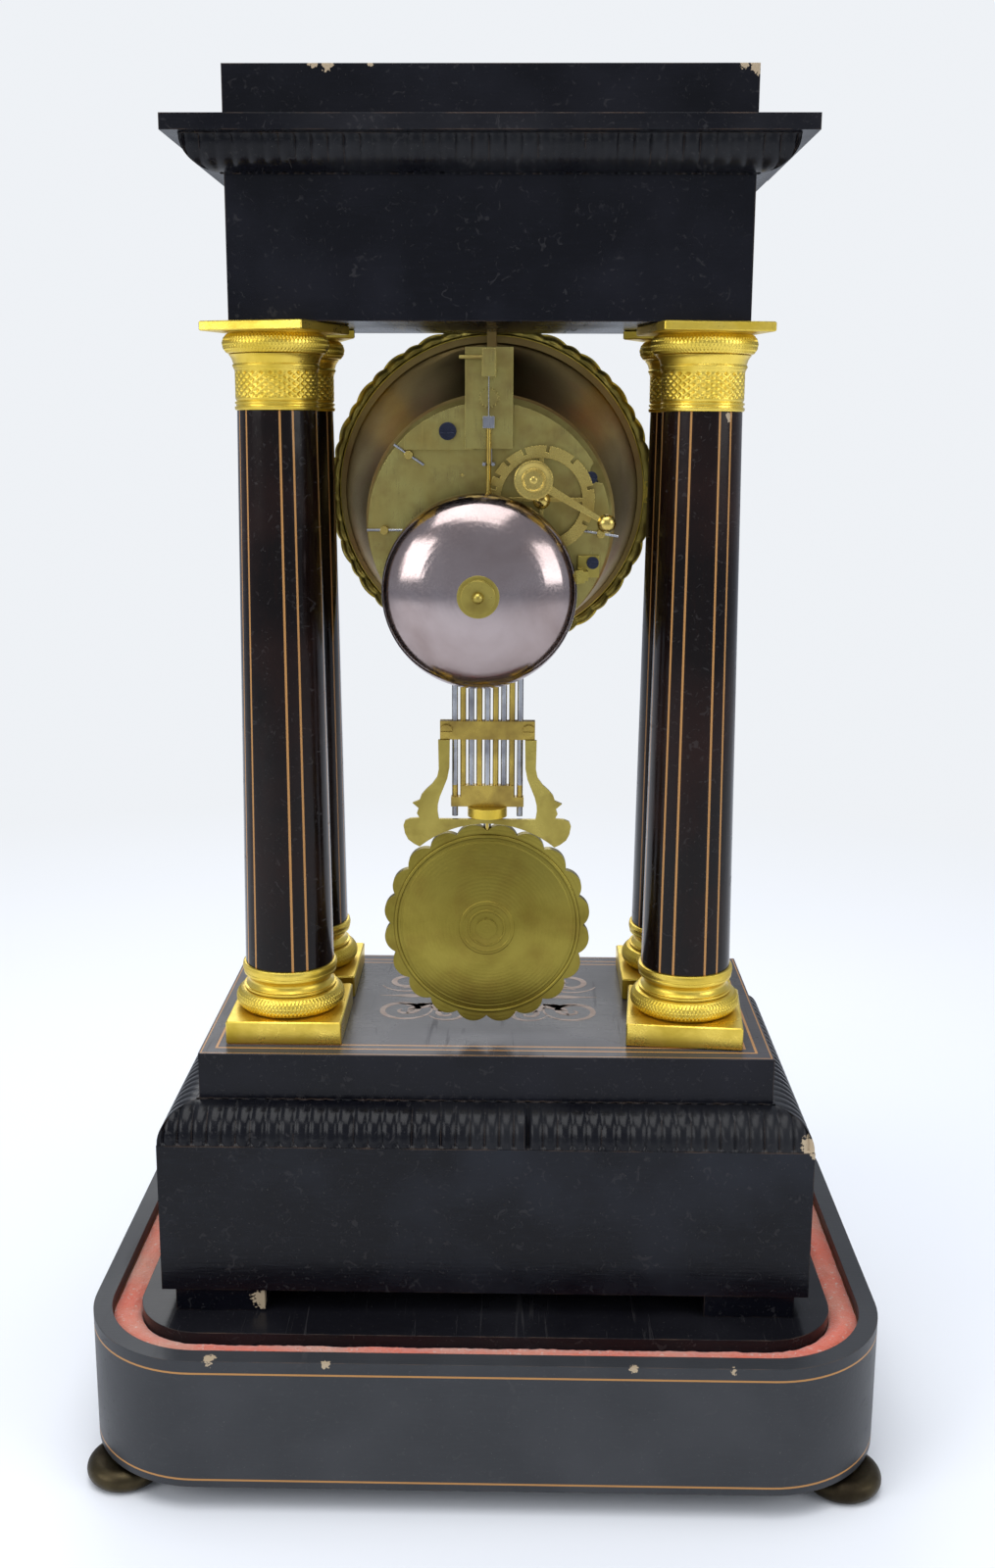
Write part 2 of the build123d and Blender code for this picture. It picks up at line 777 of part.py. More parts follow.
def make_columns():
    """Four columns, each with a gilt base and capital, held down by a tie rod."""
    bore = post(tie_rod_radius + bore_clearance, plinth_top_z, frieze_bottom_z)
    ring_minor = torus_height / 2
    for name, (x, y) in column_places.items():
        foot = Rot(Z=base_turn[name]) * box(
            base_block_size, base_block_size, plinth_top_z, block_top_z)
        foot += Pos(0, 0, block_top_z + ring_minor) * Torus(torus_radius - ring_minor, ring_minor)
        foot += post(torus_radius - ring_minor, block_top_z, torus_top_z)
        foot += post(scotia_radius, torus_top_z, scotia_top_z)
        foot += post(base_ring_radius, scotia_top_z, shaft_bottom_z)
        shaft = revolved_column([
            Line((0, shaft_bottom_z), (shaft_bottom_radius, shaft_bottom_z)),
            Line((shaft_bottom_radius, shaft_bottom_z), (shaft_top_radius, shaft_top_z)),
            Line((shaft_top_radius, shaft_top_z), (0, shaft_top_z)),
            Line((0, shaft_top_z), (0, shaft_bottom_z)),
        ])
        capital = post(bead_radius, shaft_top_z, bead_top_z)
        capital += revolved_column([
            Line((0, bead_top_z), (basket_radius, bead_top_z)),
            Line((basket_radius, bead_top_z), (basket_radius, basket_top_z)),
            Line((basket_radius, basket_top_z), (fillet_radius, neck_top_z)),
            ThreePointArc(
                (fillet_radius, neck_top_z),
                (echinus_radius - echinus_hollow, (neck_top_z + echinus_top_z) / 2),
                (echinus_radius, echinus_top_z)),
            Line((echinus_radius, echinus_top_z), (0, echinus_top_z)),
            Line((0, echinus_top_z), (0, bead_top_z)),
        ])
        capital += Rot(Z=capital_turn[name]) * box(
            abacus_size, abacus_size, echinus_top_z, frieze_bottom_z)
        save("column_base_" + name, Pos(x, y, 0) * (foot - bore))
        save("column_shaft_" + name, Pos(x, y, 0) * (shaft - bore))
        save("column_capital_" + name, Pos(x, y, 0) * (capital - bore))


def make_tie_rods():
    """The iron rods through the columns and the nuts at their ends."""
    rods = Part()
    lower_face_z = plinth_top_z - case_wall
    upper_face_z = frieze_bottom_z + frieze_wall
    for x, y in column_places.values():
        bottom_z = lower_face_z - tie_nut_height
        top_z = upper_face_z + tie_nut_height
        rods += post(tie_rod_radius, bottom_z - tie_rod_end, top_z + tie_rod_end, x, y)
        hexagon = RegularPolygon(tie_nut_radius, 6)
        for nut_z in (bottom_z, upper_face_z):
            nut = extrude(Pos(x, y, nut_z) * hexagon, amount=tie_nut_height)
            rods += nut - post(
                tie_rod_radius + running_clearance, nut_z, nut_z + tie_nut_height, x, y)
    save("column_tie_rods", rods)


def cone_between(front_radius, back_radius):
    """A slanting cone from the rim of the pan to its back."""
    front_plane = Plane(
        origin=(0, surround_back + pan_sheet, dial_height), x_dir=(1, 0, 0), z_dir=(0, -1, 0))
    back_plane = Plane(
        origin=(0, front_plate_front, plates_z), x_dir=(1, 0, 0), z_dir=(0, -1, 0))
    front = front_plane * Circle(front_radius)
    back = back_plane * Circle(back_radius)
    return loft([front, back], ruled=True)


def make_dial_case():
    """The pan, its scalloped gilt surround, the dial plate and the hanger under the frieze."""
    outer_cone = cone_between(pan_rim_radius, pan_back_radius)
    inner_cone = cone_between(pan_rim_radius - pan_sheet, pan_back_radius - pan_sheet)
    pan = outer_cone - inner_cone
    rim = Circle(pan_rim_radius + pan_bead_reach) - Circle(pan_rim_radius - 2 * pan_sheet)
    pan += flat(rim, surround_back, surround_back + pan_bead_depth, *centre)
    floor = Circle(pan_back_radius) - Circle(pan_back_opening)
    pan += flat(floor, front_plate_front - pan_sheet, front_plate_front, 0, plates_z)
    for place in pan_screw_places:
        pan -= rod(
            screw_shank_radius + running_clearance, front_plate_front - pan_sheet,
            front_plate_front, place)
    hanger_front = surround_back + hanger_from_dial
    hanger = box(
        hanger_width, hanger_depth, plates_z + pan_back_radius, frieze_bottom_z,
        0, hanger_front + hanger_depth / 2)
    hanger -= outer_cone
    face = scalloped(surround_outer_radius, surround_valley_radius, surround_scallops)
    surround = flat(face - Circle(surround_inner_radius), surround_front, surround_back, *centre)
    for side in (-1, 1):
        middle_z = dial_height + side * (hinge_knuckle_length + hinge_gap)
        surround += hinge_knuckle(middle_z)
        surround += box(
            2 * hinge_knuckle_radius, surround_front - hinge_y,
            middle_z - hinge_knuckle_length / 2, middle_z + hinge_knuckle_length / 2,
            hinge_x, (surround_front + hinge_y) / 2)
    surround -= hinge_bore()
    dial = Circle(surround_inner_radius + dial_overlap)
    dial -= Circle(hour_pipe_radius + dial_centre_clearance)
    for place in barrel_places:
        dial -= Pos(place[0], place[1] - dial_height) * Circle(winding_hole_radius)
    dial_plate = flat(dial, surround_back, dial_back, *centre)
    for number in range(dial_feet):
        bearing = dial_foot_bearing + 360 / dial_feet * number
        place = polar(centre, dial_foot_circle, bearing)
        dial_plate += rod(dial_foot_radius, dial_back, front_plate_front, place)
    save("dial_pan", pan)
    save("dial_hanger", hanger)
    save("dial_surround", surround)
    save("dial_plate", dial_plate)


def hinge_knuckle(middle_z):
    """One knuckle of the bezel's hinge."""
    half = hinge_knuckle_length / 2
    return post(hinge_knuckle_radius, middle_z - half, middle_z + half, hinge_x, hinge_y)


def hinge_bore():
    """The hole for the bezel's hinge pin."""
    return post(
        hinge_pin_radius + running_clearance, dial_height - hinge_reach,
        dial_height + hinge_reach, hinge_x, hinge_y)


def make_bezel():
    """The hinged brass bezel, its domed glass and its hinge pin."""
    ring = flat(
        Circle(bezel_outer_radius) - Circle(bezel_inner_radius), bezel_front, bezel_back, *centre)
    rebate_front = bezel_back - bezel_rebate_depth
    ring -= rod(bezel_rebate_radius, rebate_front, bezel_back, centre)
    ring += hinge_knuckle(dial_height)
    leaf_end = -bezel_outer_radius + hinge_offset
    ring += box(
        leaf_end - hinge_x, hinge_leaf_thickness,
        dial_height - hinge_knuckle_length / 2, dial_height + hinge_knuckle_length / 2,
        (leaf_end + hinge_x) / 2, hinge_y)
    ring -= hinge_bore()
    pin = post(
        hinge_pin_radius, dial_height - hinge_reach, dial_height + hinge_reach, hinge_x, hinge_y)
    pin += post(
        hinge_knuckle_radius, dial_height + hinge_reach,
        dial_height + hinge_reach + hinge_pin_head, hinge_x, hinge_y)
    edge = bezel_rebate_radius - glass_clearance
    shoulder = bezel_inner_radius - glass_clearance
    glass = rod(edge, rebate_front, rebate_front + glass_thickness, centre)
    glass += cap(shoulder, -glass_rise, centre, rebate_front)
    glass -= cap(shoulder - glass_thickness, -glass_rise, centre, rebate_front + glass_thickness)
    save("glass_bezel", ring)
    save("bezel_glass", glass)
    save("bezel_hinge_pin", pin)


def pointer(length, ring_share, ring_radius, hub, width):
    """The outline of a hand: a hub, a tapering blade and an open ring towards its tip."""
    ring_middle = length * ring_share
    waist = width * hand_waist_share
    outline = Circle(hub) + strip((0, 0), (0, ring_middle), width, waist)
    outline += strip((0, ring_middle), (0, length), waist, width * hand_tip_share)
    outline += Pos(0, ring_middle) * Circle(ring_radius)
    return outline - Pos(0, ring_middle) * Circle(ring_radius * hand_ring_bore_share)


def make_hands_and_motion_work():
    """The hour hand with its pipe and wheel, the minute hand and the minute wheel."""
    hour_face = pointer(
        hour_hand_length, hour_ring_share, hour_ring_radius, hour_pipe_radius + hour_hub_rim,
        hour_blade_width)
    hour_back = surround_back - hour_hand_gap
    hour_front = hour_back - hand_thickness
    hour = flat(Rot(Z=hour_hand_bearing) * hour_face, hour_front, hour_back, *centre)
    hour += rod(hour_pipe_radius, hour_back, hour_wheel_back, centre)
    hour += wheel(
        hour_wheel_teeth, hour_module, centre, minute_place,
        hour_wheel_back - wheel_thickness, hour_wheel_back)
    hour -= rod(cannon_radius + running_clearance, hour_front, hour_wheel_back, centre)
    minute_back = hour_front - hand_spacing
    minute_front = minute_back - hand_thickness
    minute_face = pointer(
        minute_hand_length, minute_ring_share, minute_ring_radius, cannon_radius + minute_hub_rim,
        minute_blade_width)
    minute = flat(Rot(Z=minute_hand_bearing) * minute_face, minute_front, minute_back, *centre)
    minute -= rod(cannon_radius, minute_front, minute_back, centre)
    minute_wheel = wheel(
        minute_wheel_teeth, cannon_module, minute_place, centre,
        minute_wheel_front, minute_wheel_front + minute_wheel_thickness)
    minute_wheel += pinion(
        minute_pinion_teeth, hour_module, minute_place, centre,
        hour_wheel_back - wheel_thickness - pinion_overlap, minute_wheel_front)
    minute_wheel -= rod(
        minute_stud_radius + running_clearance, hour_wheel_back - 2 * wheel_thickness,
        front_plate_front, minute_place)
    save("hour_hand", hour)
    save("minute_hand", minute)
    save("minute_wheel", minute_wheel)


def slotted_screw(place, seat, depth, head_radius, direction):
    """A dome-headed screw on a seat at a Y, its shank going into the piece under it."""
    head = Pos(place[0], seat, place[1]) * scaled_head(head_radius, direction)
    ends = sorted((seat, seat - direction * depth))
    return head + rod(screw_shank_radius, ends[0], ends[1], place)


def scaled_head(radius, direction):
    """A low round screw head with a slot across it, standing out along direction in Y."""
    height = radius * 0.6
    back = Rot(X=-90 * direction)
    body = Pos(0, 0, height / 2) * Cylinder(radius, height)
    slot = Pos(0, 0, height * 0.8) * Box(2 * radius + 1, radius * 0.3, height * 0.5)
    return back * (body - slot)


def make_plates():
    """The two plates, the pillars between them, their taper pins and the screws."""
    front = flat(Circle(front_plate_radius), front_plate_front, plates_front, 0, plates_z)
    front += rod(minute_stud_radius, minute_stud_front, front_plate_front, minute_place)
    back = flat(Circle(back_plate_radius), plates_back, back_plate_back, 0, plates_z)
    notch = from_plates(notch_place)
    back -= rod(notch_radius, plates_back, back_plate_back, notch)
    pivot_hole = pivot_radius + running_clearance
    arbor_hole = arbor_radius + running_clearance
    winding_hole = winding_arbor_radius + running_clearance
    front_holes = [(place, pivot_hole) for place in pivoted_places + [pallet_place]]
    front_holes += [(place, winding_hole) for place in barrel_places]
    front_holes += [(place, screw_shank_radius + running_clearance) for place in pan_screw_places]
    front_holes.append((centre, cannon_radius + running_clearance))
    back_holes = [(place, pivot_hole) for place in pivoted_places]
    back_holes += [(place, pivot_hole) for place in barrel_places]
    back_holes += [(count_place, arbor_hole), (hammer_arbor_place, arbor_hole)]
    back_holes.append((pallet_place, pallet_hole_radius))
    back_holes += [
        (place, screw_shank_radius + running_clearance) for place in back_screw_places]
    pillars = Part()
    pins = Part()
    for offset, turn in zip(pillar_places, taper_pin_turns):
        place = from_plates(offset)
        front_holes.append((place, pillar_end_radius + running_clearance))
        back_holes.append((place, pillar_end_radius + running_clearance))
        pillar = rod(pillar_radius, plates_front, plates_back, place)
        pillar += rod(pillar_end_radius, front_plate_front, plates_front, place)
        pillar += rod(pillar_end_radius, plates_back, back_plate_back + pillar_end_length, place)
        pin_middle = Pos(place[0], back_plate_back + taper_pin_radius, place[1])
        lying = pin_middle * Rot(Y=90 - turn)
        pillar -= lying * Cylinder(taper_pin_radius + running_clearance, taper_pin_length)
        pillars += pillar
        pins += lying * Cylinder(taper_pin_radius, taper_pin_length)
    for place, radius in front_holes:
        front -= rod(radius, front_plate_front, plates_front, place)
    for place, radius in back_holes:
        back -= rod(radius, plates_back, back_plate_back, place)
    screws = Part()
    for place in pan_screw_places:
        screws += slotted_screw(
            place, front_plate_front - pan_sheet, pan_sheet + front_plate_thickness,
            small_screw_radius, -1)
    screws += slotted_screw(
        cock_screw, back_plate_back + cock_stand, cock_stand + back_plate_thickness,
        screw_head_radius, 1)
    screws += slotted_screw(
        stand_screw, back_plate_back + stand_foot_height,
        stand_foot_height + back_plate_thickness, small_screw_radius, 1)
    screws += slotted_screw(
        edge_screw, back_plate_back, back_plate_thickness, small_screw_radius, 1)
    save("front_plate", front)
    save("back_plate", back)
    save("plate_pillars", pillars)
    save("pillar_pins", pins)
    save("movement_screws", screws)


def barrel(place, partner, depth):
    """A toothed spring barrel with its winding arbor, from the wheel's front face."""
    front = plates_front + depth
    wheel_back = front + barrel_wheel_thickness
    back = wheel_back + drum_length
    body = flat(
        toothed(barrel_teeth, barrel_module, bearing_to(place, partner)),
        front, wheel_back, *place)
    body += rod(drum_radius, wheel_back, back, place)
    inside = Circle(drum_radius - drum_wall) - Circle(barrel_core_radius)
    body -= flat(inside, wheel_back, back - drum_wall, *place)
    arbor_end = surround_back + winding_end_gap
    body += rod(winding_arbor_radius, front_plate_front, front, place)
    body += flat(
        Rectangle(winding_square, winding_square), arbor_end, front_plate_front, *place)
    body += rod(arbor_radius, back, plates_back - arbor_end_play, place)
    body += rod(pivot_radius, plates_back - arbor_end_play, back_plate_back - pivot_end_gap, place)
    return body


def make_going_train():
    """The going side from the barrel to the escape wheel, pallets and crutch."""
    save("going_barrel", barrel(going_place, second_place, going_wheel_depth))
    second = arbor(second_place)
    second += pinion(
        second_pinion_teeth, barrel_module, second_place, going_place,
        plates_front + second_pinion_depth, plates_front + second_pinion_depth + pinion_length)
    second += wheel(
        second_teeth, second_module, second_place, centre,
        plates_front + second_wheel_depth, plates_front + second_wheel_depth + wheel_thickness)
    save("intermediate_wheel", second)
    middle = rod(arbor_radius, plates_front, plates_back - arbor_end_play, centre)
    middle += rod(
        pivot_radius, plates_back - arbor_end_play, back_plate_back - pivot_end_gap, centre)
    middle += rod(cannon_radius, cannon_tip, plates_front, centre)
    middle += rod(collar_radius, plates_front + arbor_end_play, plates_front + collar_end, centre)
    middle += pinion(
        cannon_teeth, cannon_module, centre, minute_place,
        front_plate_front - cannon_depth - cannon_length, front_plate_front - cannon_depth)
    middle += pinion(
        centre_pinion_teeth, second_module, centre, second_place,
        plates_front + centre_pinion_depth, plates_front + centre_pinion_depth + pinion_length)
    middle += wheel(
        centre_teeth, fine_module, centre, third_place,
        plates_front + centre_wheel_depth, plates_front + centre_wheel_depth + wheel_thickness)
    save("centre_wheel", middle)
    third = arbor(third_place)
    third += pinion(
        third_pinion_teeth, fine_module, third_place, centre,
        plates_front + third_pinion_depth, plates_front + third_pinion_depth + pinion_length)
    third += wheel(
        third_teeth, fine_module, third_place, escape_place,
        plates_front + third_wheel_depth, plates_front + third_wheel_depth + wheel_thickness)
    save("third_wheel", third)
    escape = arbor(escape_place)
    escape += pinion(
        escape_pinion_teeth, fine_module, escape_place, third_place,
        plates_front + fast_pinion_depth,
        plates_front + fast_pinion_depth + fast_pinion_length)
    escape += escape_wheel_blank()
    save("escape_wheel", escape)
    save("pallet_arbor", pallets_and_crutch())


def escape_wheel_blank():
    """The escape wheel with pointed teeth."""
    root = escape_radius - escape_tooth_depth
    points = []
    for number in range(escape_teeth):
        middle = 360 / escape_teeth * number
        points.append(polar((0, 0), root, middle - escape_root_half))
        points.append(polar((0, 0), escape_radius, middle - escape_tip_half))
        points.append(polar((0, 0), escape_radius, middle + escape_tip_half))
        points.append(polar((0, 0), root, middle + escape_root_half))
    outline = make_face(Polyline(*points, close=True))
    front = plates_front + escape_wheel_depth
    opened = crossed(outline, root - escape_rim, escape_spokes)
    return flat(opened, front, front + escape_thickness, *escape_place)


def pallets_and_crutch():
    """The pallet arbor with its anchor between the plates and its crutch behind them."""
    body = rod(arbor_radius, plates_front + arbor_end_play, cock_front - arbor_end_play,
               pallet_place)
    body += rod(
        pivot_radius, front_plate_front + pivot_end_gap, plates_front + arbor_end_play,
        pallet_place)
    body += rod(pivot_radius, cock_front - arbor_end_play, cock_back - pivot_end_gap, pallet_place)
    anchor = Circle(anchor_hub_radius)
    for side in (-1, 1):
        bearing = 90 - side * pallet_span
        tip = polar((0, -pallet_rise), escape_radius + pallet_nib_gap, bearing)
        root = polar((0, -pallet_rise), escape_radius + pallet_nib_gap + pallet_nib_length, bearing)
        anchor += strip(root, tip, pallet_nib_width * 2, pallet_nib_width)
        anchor += strip((0, 0), root, anchor_arm_width, anchor_arm_width)
    front = plates_front + escape_wheel_depth - pallet_overlap
    back = front + escape_thickness + 2 * pallet_overlap
    body += flat(anchor, front, back, *pallet_place)
    crutch_front = back_plate_back + crutch_gap
    crutch_back = crutch_front + crutch_thickness
    fork_spread = pendulum_rod_radius + crutch_slot_clearance + crutch_pin_radius
    crutch = Circle(crutch_collet_radius)
    crutch += strip((0, 0), (0, -crutch_drop), crutch_width, crutch_width)
    crutch += Pos(0, -crutch_drop) * Rectangle(
        2 * (fork_spread + crutch_pin_radius), 2 * crutch_pin_radius)
    body += flat(crutch, crutch_front, crutch_back, *pallet_place)
    for side in (-1, 1):
        place = (side * fork_spread, pallet_place[1] - crutch_drop)
        body += rod(crutch_pin_radius, crutch_front, pendulum_y + crutch_pin_reach, place)
    return body


def make_strike_train():
    """The striking side from the barrel to the fly, with the count wheel and the hammer."""
    save("strike_barrel", barrel(strike_place, count_place, strike_wheel_depth))
    count_front = back_plate_back + count_wheel_gap
    count_back = count_front + count_wheel_thickness
    knob_y = count_back + count_knob_stand
    count = rod(
        arbor_radius, plates_front + arbor_end_play, knob_y - count_knob_radius / 2, count_place)
    count += rod(
        pivot_radius, front_plate_front + pivot_end_gap, plates_front + arbor_end_play,
        count_place)
    count += pinion(
        second_pinion_teeth, barrel_module, count_place, strike_place,
        plates_front + count_pinion_depth,
        plates_front + count_pinion_depth + count_pinion_length)
    count += wheel(
        count_drive_teeth, second_module, count_place, pin_place,
        plates_front + count_drive_depth, plates_front + count_drive_depth + wheel_thickness)
    locking = Circle(count_wheel_radius)
    slot_bearing = 0.0
    for number in range(count_wheel_slots):
        slot_bearing += 360 * (number + 1) / count_spacing_total
        middle = polar((0, 0), count_wheel_radius, slot_bearing)
        inner = polar((0, 0), count_wheel_radius - count_slot_depth, slot_bearing)
        locking -= strip(inner, (middle[0] * 1.1, middle[1] * 1.1), count_slot_width,
                         count_slot_width)
    locking = crossed(locking, count_wheel_radius - count_slot_depth - wheel_rim, count_spokes)
    count += flat(locking, count_front, count_back, *count_place)
    count += ball(count_knob_radius, count_place, knob_y)
    save("count_wheel", count)
    pin = arbor(pin_place)
    pin += pinion(
        pin_pinion_teeth, second_module, pin_place, count_place,
        plates_front + pin_pinion_depth, plates_front + pin_pinion_depth + pinion_length)
    pin_wheel_front = plates_front + third_wheel_depth
    pin += wheel(
        pin_wheel_teeth, fly_module, pin_place, fly_place,
        pin_wheel_front, pin_wheel_front + wheel_thickness)
    for number in range(lifting_pins):
        place = polar(pin_place, lifting_pin_circle, 360 / lifting_pins * number)
        pin += rod(lifting_pin_radius, pin_wheel_front - lifting_pin_length, pin_wheel_front, place)
    save("pin_wheel", pin)
    fly = arbor(fly_place)
    fly += pinion(
        fly_pinion_teeth, fly_module, fly_place, pin_place,
        plates_front + fast_pinion_depth,
        plates_front + fast_pinion_depth + fast_pinion_length)
    blade_front = plates_front + fly_blade_depth
    fly += flat(
        Rectangle(fly_blade_width, fly_blade_thickness), blade_front,
        blade_front + fly_blade_length, *fly_place)
    save("fly", fly)
    save("hammer", hammer_piece())


def hammer_piece():
    """The hammer on its arbor: a boss, a strap and rod, and a round head by the bell."""
    head = from_plates(hammer_head_place)
    head_front = back_plate_back + hammer_head_stand
    head_middle = head_front + hammer_head_depth / 2
    body = rod(
        arbor_radius, plates_front + arbor_end_play, head_middle - hammer_boss_radius / 2,
        hammer_arbor_place)
    body += rod(
        pivot_radius, front_plate_front + pivot_end_gap, plates_front + arbor_end_play,
        hammer_arbor_place)
    body += ball(hammer_boss_radius, hammer_arbor_place, head_middle)
    reach = (head[0] - hammer_arbor_place[0], head[1] - hammer_arbor_place[1])
    strap = strip((0, 0), reach, hammer_rod_radius * 2, hammer_strap_width)
    body += flat(
        strap, head_middle - hammer_rod_radius, head_middle + hammer_rod_radius,
        *hammer_arbor_place)
    body += rod(hammer_head_radius, head_front, head_front + hammer_head_depth, head)
    return body


def bell_half(radius, depth, place):
    """Half of an egg-shaped solid whose flat side is the bell's mouth."""
    return turned([
        EllipticalCenterArc((0, 0), radius, depth, start_angle=0, arc_size=90),
        Line((0, depth), (0, 0)),
        Line((0, 0), (radius, 0)),
    ], place, bell_rim_y)


def make_bell():
    """The bell, the bracket that carries it and the nut on its crown."""
    foot = from_plates(stand_foot_place)
    middle = from_plates(bell_place)
    arm_back = bell_rim_y - stand_arm_gap
    arm_front = arm_back - stand_arm_thickness
    foot_back = back_plate_back + stand_foot_height
    stand = flat(
        Rectangle(stand_foot_size, stand_foot_size), back_plate_back, foot_back, *foot)
    post_place = (foot[0] + stand_post_offset, foot[1] - stand_post_offset)
    stand += flat(
        Rectangle(stand_post_size, stand_post_size), back_plate_back, arm_back, *post_place)
    reach = (middle[0] - post_place[0], middle[1] - post_place[1])
    stand += flat(
        strip((0, 0), reach, stand_arm_width, stand_arm_width), arm_front, arm_back, *post_place)
    stand -= rod(
        screw_shank_radius + running_clearance, back_plate_back, foot_back, stand_screw)
    crown_share = bell_shoulder_radius / (bell_radius - bell_wall)
    crown_depth = (bell_depth - bell_wall) * math.sqrt(1 - crown_share ** 2)
    shoulder_y = bell_rim_y + crown_depth - running_clearance
    stand += rod(bell_shoulder_radius, arm_front, arm_back, middle)
    stand += rod(bell_post_radius, arm_back, bell_post_end, middle)
    stand += rod(
        bell_shoulder_radius, shoulder_y - bell_shoulder_height, shoulder_y, middle)
    bell = bell_half(bell_radius, bell_depth, middle)
    bell -= bell_half(bell_radius - bell_wall, bell_depth - bell_wall, middle)
    bell -= rod(bell_hole_radius, bell_rim_y, bell_apex_y, middle)
    washer_back = bell_apex_y + bell_washer_thickness
    nut = rod(bell_washer_radius, bell_apex_y, washer_back, middle)
    nut += rod(bell_nut_radius, washer_back, washer_back + bell_nut_height, middle)
    nut += ball(bell_finial_radius, middle, bell_nut_back + bell_finial_radius / 2)
    nut -= rod(bell_post_radius + running_clearance, bell_apex_y, bell_post_end, middle)
    save("bell_stand", stand)
    save("bell", bell)
    save("bell_nut", nut)


def make_suspension():
    """The cock that carries the pendulum, with its fork and pin, and the spring below it."""
    foot_middle_x = (cock_foot_inner + cock_foot_outer) / 2
    foot_block_height = back_plate_radius - cock_foot_bottom
    foot_block = Pos(foot_middle_x, cock_foot_bottom + foot_block_height / 2) * Rectangle(
        cock_foot_outer - cock_foot_inner, foot_block_height)
    cock = flat(Circle(back_plate_radius) & foot_block, back_plate_back, cock_front, 0, plates_z)
    face = Pos(0, (cock_top + cock_bottom) / 2) * Rectangle(
        2 * cock_half_width, cock_top - cock_bottom)
    cock += flat(face, cock_front, cock_back, 0, plates_z)
    cheek_inner = spring_width / 2 + suspension_side_gap
    block_back = pendulum_y + cheek_inner + suspension_cheek
    pivot_z = plates_z + suspension_rise
    block_bottom = pivot_z - suspension_eye_half
    cock += box(
        suspension_block_width, block_back - cock_back, block_bottom,
        plates_z + suspension_block_top, 0, (cock_back + block_back) / 2)
    cock -= box(
        suspension_block_width, 2 * cheek_inner, block_bottom,
        pivot_z + suspension_eye_half + 1, 0, pendulum_y)
    cock += rod(suspension_pin_radius, cock_back, block_back, (0, pivot_z))
    side_pin = Rot(Y=90) * Cylinder(regulator_pin_radius, side_pin_length)
    side_pin_x = suspension_block_width / 2 + side_pin_length / 2
    cock += Pos(side_pin_x, pendulum_y, plates_z + side_pin_rise) * side_pin
    regulator = toothed(regulator_teeth, 2 * regulator_radius / regulator_teeth, 90)
    cock += flat(regulator, cock_back, cock_back + wheel_thickness, 0, plates_z + regulator_rise)
    cock -= rod(
        screw_shank_radius + running_clearance, back_plate_back, cock_front, cock_screw)
    cock -= rod(pivot_radius + running_clearance, cock_front, cock_back, pallet_place)
    eye_top = pivot_z + suspension_eye_half
    eye_bottom = pivot_z - suspension_eye_half
    spring = box(2 * suspension_eye_half, spring_width, eye_bottom, eye_top, 0, pendulum_y)
    spring -= rod(
        suspension_pin_radius + running_clearance, pendulum_y - spring_width / 2,
        pendulum_y + spring_width / 2, (0, pivot_z))
    spring += box(
        spring_thickness, spring_width, plates_z + chops_top, eye_bottom, 0, pendulum_y)
    spring += box(
        chops_width, chops_depth, plates_z + chops_bottom, plates_z + chops_top, 0, pendulum_y)
    save("suspension_cock", cock)
    save("suspension_spring", spring)


def bar(width, height, top):
    """A flat bar of the pendulum, from its width, height and top above the plates' middle."""
    return box(width, bar_depth, plates_z + top - height, plates_z + top, 0, pendulum_y)


def make_pendulum():
    """The gridiron, the lyre under its crossbar, the bob and the rating nut."""
    foot_bar_top = lower_bar_top - lower_bar_height
    foot_bar_bottom = foot_bar_top - foot_bar_height
    bob_z = plates_z - bob_drop
    grid = bar(grid_rods * grid_rod_spacing, top_bar_height, grid_top)
    grid += post(
        pendulum_rod_radius, plates_z + grid_top, plates_z + chops_bottom, 0, pendulum_y)
    grid += bar(crossbar_width, crossbar_height, crossbar_middle + crossbar_height / 2)
    grid += bar(lower_bar_width, lower_bar_height, lower_bar_top)
    grid += bar(foot_bar_width, foot_bar_height, foot_bar_top)
    for number in range(grid_rods):
        place = number - (grid_rods - 1) / 2
        outermost = abs(place) == (grid_rods - 1) / 2
        bottom = grid_bottom if outermost else foot_bar_bottom
        grid += post(
            grid_rod_radius, plates_z + bottom, plates_z + grid_top - top_bar_height,
            place * grid_rod_spacing, pendulum_y)
    for side in (-1, 1):
        screw_place = (side * crossbar_screw_spread / 2, plates_z + crossbar_middle)
        grid += slotted_screw(
            screw_place, pendulum_y + bar_depth / 2, bar_depth, small_screw_radius, 1)
    stem_bottom = bob_z + bob_rim_radius - bob_stem_depth
    grid += post(bob_stem_radius, stem_bottom, plates_z + foot_bar_bottom, 0, pendulum_y)
    nut_top = plates_z + foot_bar_bottom - rating_nut_gap
    nut = post(rating_nut_radius, nut_top - rating_nut_height, nut_top, 0, pendulum_y)
    nut -= post(
        bob_stem_radius + rating_nut_clearance, nut_top - rating_nut_height, nut_top, 0, pendulum_y)
    rim_back = pendulum_y + bob_rim_thickness / 2
    rim_front = pendulum_y - bob_rim_thickness / 2
    rim = scalloped(bob_scallop_radius, bob_rim_radius, bob_scallops)
    bob = flat(rim, rim_front, rim_back, 0, bob_z)
    bob += cap(bob_dish_radius, bob_dish_rise, (0, bob_z), rim_back)
    bob += cap(bob_dish_radius, -bob_front_rise, (0, bob_z), rim_front)
    bob += rod(bob_screw_radius, rim_back, rim_back + bob_dish_rise + bob_screw_stand, (0, bob_z))
    bob -= post(bob_stem_radius, stem_bottom, bob_z + bob_scallop_radius, 0, pendulum_y)
    save("pendulum_gridiron", grid)
    save("pendulum_lyre", lyre())
    save("pendulum_bob", bob)
    save("rating_nut", nut)


